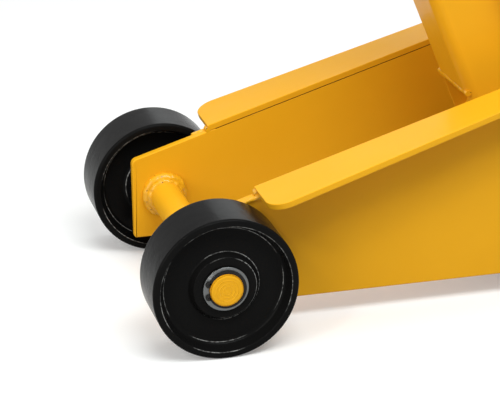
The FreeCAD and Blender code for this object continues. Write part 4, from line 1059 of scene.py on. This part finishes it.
@dataclass
class PowerUnit:
    """The hydraulic unit: ram, cylinder, tank, pump block, springs and release valve."""

    coil_wire: float = 1.25 * MM
    pump_wire: float = 1.5 * MM
    ram_stroke: float = 87.1 * MM
    pump_keep: float = 0.378
    washer: float = 12.2 * MM
    washer_thick: float = 1.2 * MM
    washer_hole: float = 6.3 * MM
    bolt_inset: float = 14 * MM
    bolt_top: float = 16 * MM
    rear_bolt: float = 38 * MM
    hook_reach: float = 34 * MM
    hook_start: float = math.radians(25)
    hook_sweep: float = math.radians(310)
    hook_steps: int = 27

    def build(self) -> None:
        """Make the unit."""
        soften_all({"push_head": 1.2, "spring_bar": 0.8, "ram_rod": 0.3, "ram_piston": 0.3,
                    "piston_seal": 0.3, "oil_reservoir": 0.8, "ram_cylinder": 0.5,
                    "ram_gland": 0.8, "filler_plug": 0.8, "pump_block": 1.6, "unit_bolts": 0.8,
                    "release_valve_nut": 0.7, "release_valve_spindle": 0.5,
                    "release_tommy_bar": 1.4, "pump_plunger": 0.4})
        self.return_springs()
        self.pump_spring()
        self.bolt_washers()

    def bolt_washers(self) -> None:
        """A plain washer under the head of each bolt of the pump block."""
        low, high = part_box("pump_block")
        corners = [(self.washer_hole, 0, 0.1 * MM), (self.washer, 0, 0.3 * MM),
                   (self.washer, self.washer_thick, 0.3 * MM),
                   (self.washer_hole, self.washer_thick, 0.1 * MM)]
        shape = lathed("washer_shape", rounded(corners), Vector((0, -self.washer_thick / 2, 0)),
                       Axis.Y, 40)
        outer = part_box("far_side_plate")[1].y + self.washer_thick / 2
        ahead = low.x + self.bolt_inset
        places = [(ahead, low.z + self.bolt_inset), (ahead, high.z - self.bolt_top),
                  (high.x - self.bolt_inset, low.z + self.rear_bolt)]
        path = [Vector((x, outer * outward, z)) for x, z in places for outward in (-1, 1)]
        washers = REPEAT.make("unit_bolt_washers", path, False, ZINC, Shape=shape, Turn=0.0)
        dressed(washers, ZINC, "frame")
        bpy.data.objects.remove(shape)

    def return_springs(self) -> None:
        """Both extension springs, wound close, with a hook on the bar and one on the pin."""
        low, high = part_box("return_springs")
        radius = (high.z - low.z) / 2 - self.coil_wire
        coils, hooks = [], {"front": [], "rear": []}
        for outward in (-1, 1):
            side = (high.y - radius - self.coil_wire) * outward
            start = Vector((low.x, side, (low.z + high.z) / 2))
            length = high.x - low.x
            turns = length / (self.coil_wire * 2.9)
            coils.append(COIL.make("coil", [start], False, SPRING, Turns=turns, Radius=radius,
                                   Length=length, Wire=self.coil_wire))
            for name, node in (("front", "spring_bar"), ("rear", "spring_anchor_pins")):
                hooks[name].append(self.hook(node, start, name == "front"))
        both = dressed(joined("return_spring_coils", coils), SPRING, "frame", "return_springs")
        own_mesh(both)
        dressed(joined("front_spring_hooks", hooks["front"]), SPRING, "ram")
        dressed(joined("rear_spring_hooks", hooks["rear"]), SPRING, "frame")

    def hook(self, node: str, start: Vector, front: bool) -> Piece:
        """A wire eye round a bar or pin, with a straight shank inside the coil.

        Args:
            node: the bar or pin.
            start: the coil's front end.
            front: whether it is the front hook.

        Returns:
            The hook.
        """
        centre = Vector((middle(node).x, start.y, start.z))
        radius = size_of(node).z / 2 + self.coil_wire * 1.05
        back = 1 if front else -1
        eye = [centre + Vector((math.cos(a) * radius * back, 0, math.sin(a) * radius))
               for a in (self.hook_start + self.hook_sweep * i / self.hook_steps
                         for i in range(self.hook_steps + 1))]
        eye.append(centre + Vector((self.hook_reach * back, 0, -0.5 * MM)))
        return WELD.make("hook", eye, False, SPRING, Bead=self.coil_wire * 0.95,
                         Pitch=3 * MM, Ripple=0.0, Lumps=0.0, Seed=0.0)

    def pump_spring(self) -> None:
        """The compression spring that pushes the plunger back out."""
        low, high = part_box("pump_spring")
        radius = (high.z - low.z) / 2 - self.pump_wire
        start = Vector((low.x + self.pump_wire, 0, (low.z + high.z) / 2))
        length = high.x - low.x - 2 * self.pump_wire
        coil = COIL.make("pump_spring_coil", [start], False, SPRING, Turns=6.5, Radius=radius,
                         Length=length, Wire=self.pump_wire)
        dressed(coil, SPRING, "frame", "pump_spring")
        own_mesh(coil)


@dataclass
class PumpHandle:
    """The handle in its socket, with the rubber grip and the pump roller."""

    angle: float = math.radians(58)
    rib_pitch: float = 7 * MM
    rib_half: float = 1.2 * MM
    rib_start: float = 652 * MM
    rib_foot: float = 19.85 * MM
    rib_top: float = 21.55 * MM
    rib_crown: float = 0.8 * MM
    ribs: int = 17

    def build(self) -> None:
        """Make the handle."""
        soften_all({"handle_socket_tube": 0.8, "socket_cheeks": 1.0, "handle_tube": 0.6,
                    "pump_roller_pin": 0.6, "pump_roller": 0.6, "handle_clamp_screw": 0.8,
                    "handle_pivot_pins": 1.0})
        softened("handle_grip", 1.5 * MM, 3)
        self.grip_ribs()

    def grip_ribs(self) -> None:
        """The raised rings round the grip."""
        pivot = middle("handle_pivot_pins")
        along = Vector((math.cos(self.angle), 0, math.sin(self.angle)))
        corners = [(self.rib_foot, -self.rib_half, 0), (self.rib_top, -self.rib_crown, 0.5 * MM),
                   (self.rib_top, self.rib_crown, 0.5 * MM), (self.rib_foot, self.rib_half, 0)]
        shape = lathed("rib_shape", rounded(corners), Vector(), Axis.X, 64)
        path = [pivot + along * (self.rib_start + self.rib_pitch * i) for i in range(self.ribs)]
        ribs = REPEAT.make("grip_ribs", path, False, GRIP, Shape=shape, Turn=-self.angle)
        dressed(ribs, GRIP, BODY_OF["handle_grip"])
        bpy.data.objects.remove(shape)


@dataclass
class Casters:
    """The two rear casters."""

    def build(self) -> None:
        """Make both casters."""
        for side in ("near", "far"):
            softened(f"{side}_caster_fork", 0.9 * MM, 3)
            softened(f"{side}_caster_wheel", 1.2 * MM, 3)
            softened(f"{side}_caster_axle", 0.6 * MM)
        soften_all({"swivel_races": 0.8, "kingpins_and_nuts": 0.7})


# ---- floor, light and camera ----

@dataclass
class Studio:
    """A pale floor, soft lamps and the camera."""

    position: tuple[float, float, float] = (-0.847168, -1.436948, 0.668752)
    right: tuple[float, float, float] = (0.96316719, -0.26887642, 0.00379904)
    up: tuple[float, float, float] = (0.09659822, 0.35914925, 0.92826753)
    lens: float = 147.93
    reach: float = 7.0
    fade: tuple[float, float] = (1.1, 2.6)
    fill_light: float = 0.33

    def build(self) -> None:
        """Make the surroundings."""
        self.floor()
        self.world()
        cool, warm = (0.95, 1.0, 1.0), (1.0, 0.96, 0.9)
        self.lamp("top_softbox", (-0.5, 0.2, 2.1), (-0.2, 0.0, 0.1), (1.8, 1.4), 10.0, cool)
        self.lamp("front_softbox", (-0.1, -1.1, 2.0), (-0.15, 0.0, 0.1), (1.7, 0.9), 37.0, cool)
        self.lamp("left_softbox", (-2.2, -1.0, 0.9), (-0.2, 0.0, 0.15), (1.4, 1.2), 17.0, warm)
        self.lamp("key_spot", (-2.0, -1.3, 1.9), (-0.45, 0.0, 0.1), (0.22, 0.22), 8.0, warm)
        self.lamp("back_softbox", (0.9, 2.6, 1.4), (0.0, 0.0, 0.2), (1.8, 1.4), 10.0, cool)
        self.camera()

    def floor(self) -> None:
        """A pale floor that turns into the plain background far from the jack."""
        reach = self.reach
        mesh = bpy.data.meshes.new("studio_floor")
        mesh.from_pydata([(-reach, -reach, 0), (reach, -reach, 0), (reach, reach, 0),
                          (-reach, reach, 0)], [], [(0, 1, 2, 3)])
        floor = linked("studio_floor", mesh)
        material = bpy.data.materials.new("studio_floor")
        material.use_nodes = True
        paint = Layout(material.node_tree)
        shader = paint.tree.nodes["Principled BSDF"]
        bounce = paint.add("ShaderNodeLightPath").outputs["Is Diffuse Ray"]
        away = paint.length(paint.add("ShaderNodeNewGeometry").outputs["Position"])
        for name, near, far, bounced in (("Base Color", 0.80, 0.0, 0.42),
                                         ("Emission Strength", 0.22, 1.0, 0.0)):
            seen = paint.span(away, *self.fade, near, far)
            paint.fill(shader, {name: paint.span(bounce, 0.0, 1.0, seen, bounced)})
        paint.fill(shader, {"Emission Color": (1, 1, 1, 1), "Roughness": 0.9,
                            "Specular IOR Level": 0.1})
        mesh.materials.append(material)
        floor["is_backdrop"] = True

    def world(self) -> None:
        """A white background to look at and a softer one to light by."""
        world = bpy.data.worlds.new("studio_world")
        bpy.context.scene.world = world
        world.use_nodes = True
        paint = Layout(world.node_tree)
        rays = paint.add("ShaderNodeLightPath").outputs
        seen = paint.calc(rays["Is Camera Ray"], rays["Is Glossy Ray"], "MAXIMUM")
        seen = paint.calc(seen, rays["Is Transmission Ray"], "MAXIMUM")
        paint.fill(paint.tree.nodes["Background"], {
            "Color": (1, 1, 1, 1), "Strength": paint.span(seen, 0.0, 1.0, self.fill_light, 1.0)})

    def lamp(self, name: str, place: tuple[float, float, float],
             aim: tuple[float, float, float], size: tuple[float, float], power: float,
             colour: Colour) -> None:
        """A rectangular softbox.

        Args:
            name: the lamp's name.
            place: where it hangs.
            aim: the point that it faces.
            size: its width and height.
            power: its power in watts.
            colour: its tint.
        """
        light = bpy.data.lights.new(name, "AREA")
        light.shape, light.size, light.size_y, light.energy = "RECTANGLE", *size, power
        light.color = colour
        lamp = bpy.data.objects.new(name, light)
        lamp.location = place
        lamp.rotation_euler = (Vector(aim) - Vector(place)).to_track_quat("-Z", "Y").to_euler()
        bpy.context.scene.collection.objects.link(lamp)

    def camera(self) -> None:
        """The camera, low in front of the near wheel."""
        data = bpy.data.cameras.new("camera")
        data.lens, data.sensor_width, data.sensor_fit = self.lens, 36.0, "HORIZONTAL"
        data.clip_start, data.clip_end = 0.05, 50.0
        camera = bpy.data.objects.new("camera", data)
        right, up = Vector(self.right), Vector(self.up)
        turn = Matrix((right, up, right.cross(up))).transposed()
        camera.matrix_world = Matrix.Translation(self.position) @ turn.to_4x4()
        bpy.context.scene.collection.objects.link(camera)
        bpy.context.scene.camera = camera
        bpy.context.scene.view_settings.view_transform = "Standard"


def main() -> None:
    """Build every sub-assembly, then the studio, and log how many pieces are shown."""
    logging.basicConfig(level=logging.INFO, format="%(name)s: %(message)s")
    for assembly in (FrontAxle(), Chassis(), LiftArm(), SaddleHead(), PowerUnit(),
                     PumpHandle(), Casters()):
        before = len(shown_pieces())
        assembly.build()
        LOG.info("%s made, %d shown pieces now, %d before", type(assembly).__name__,
                 len(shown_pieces()), before)
    Studio().build()


if __name__ == "__main__":
    main()
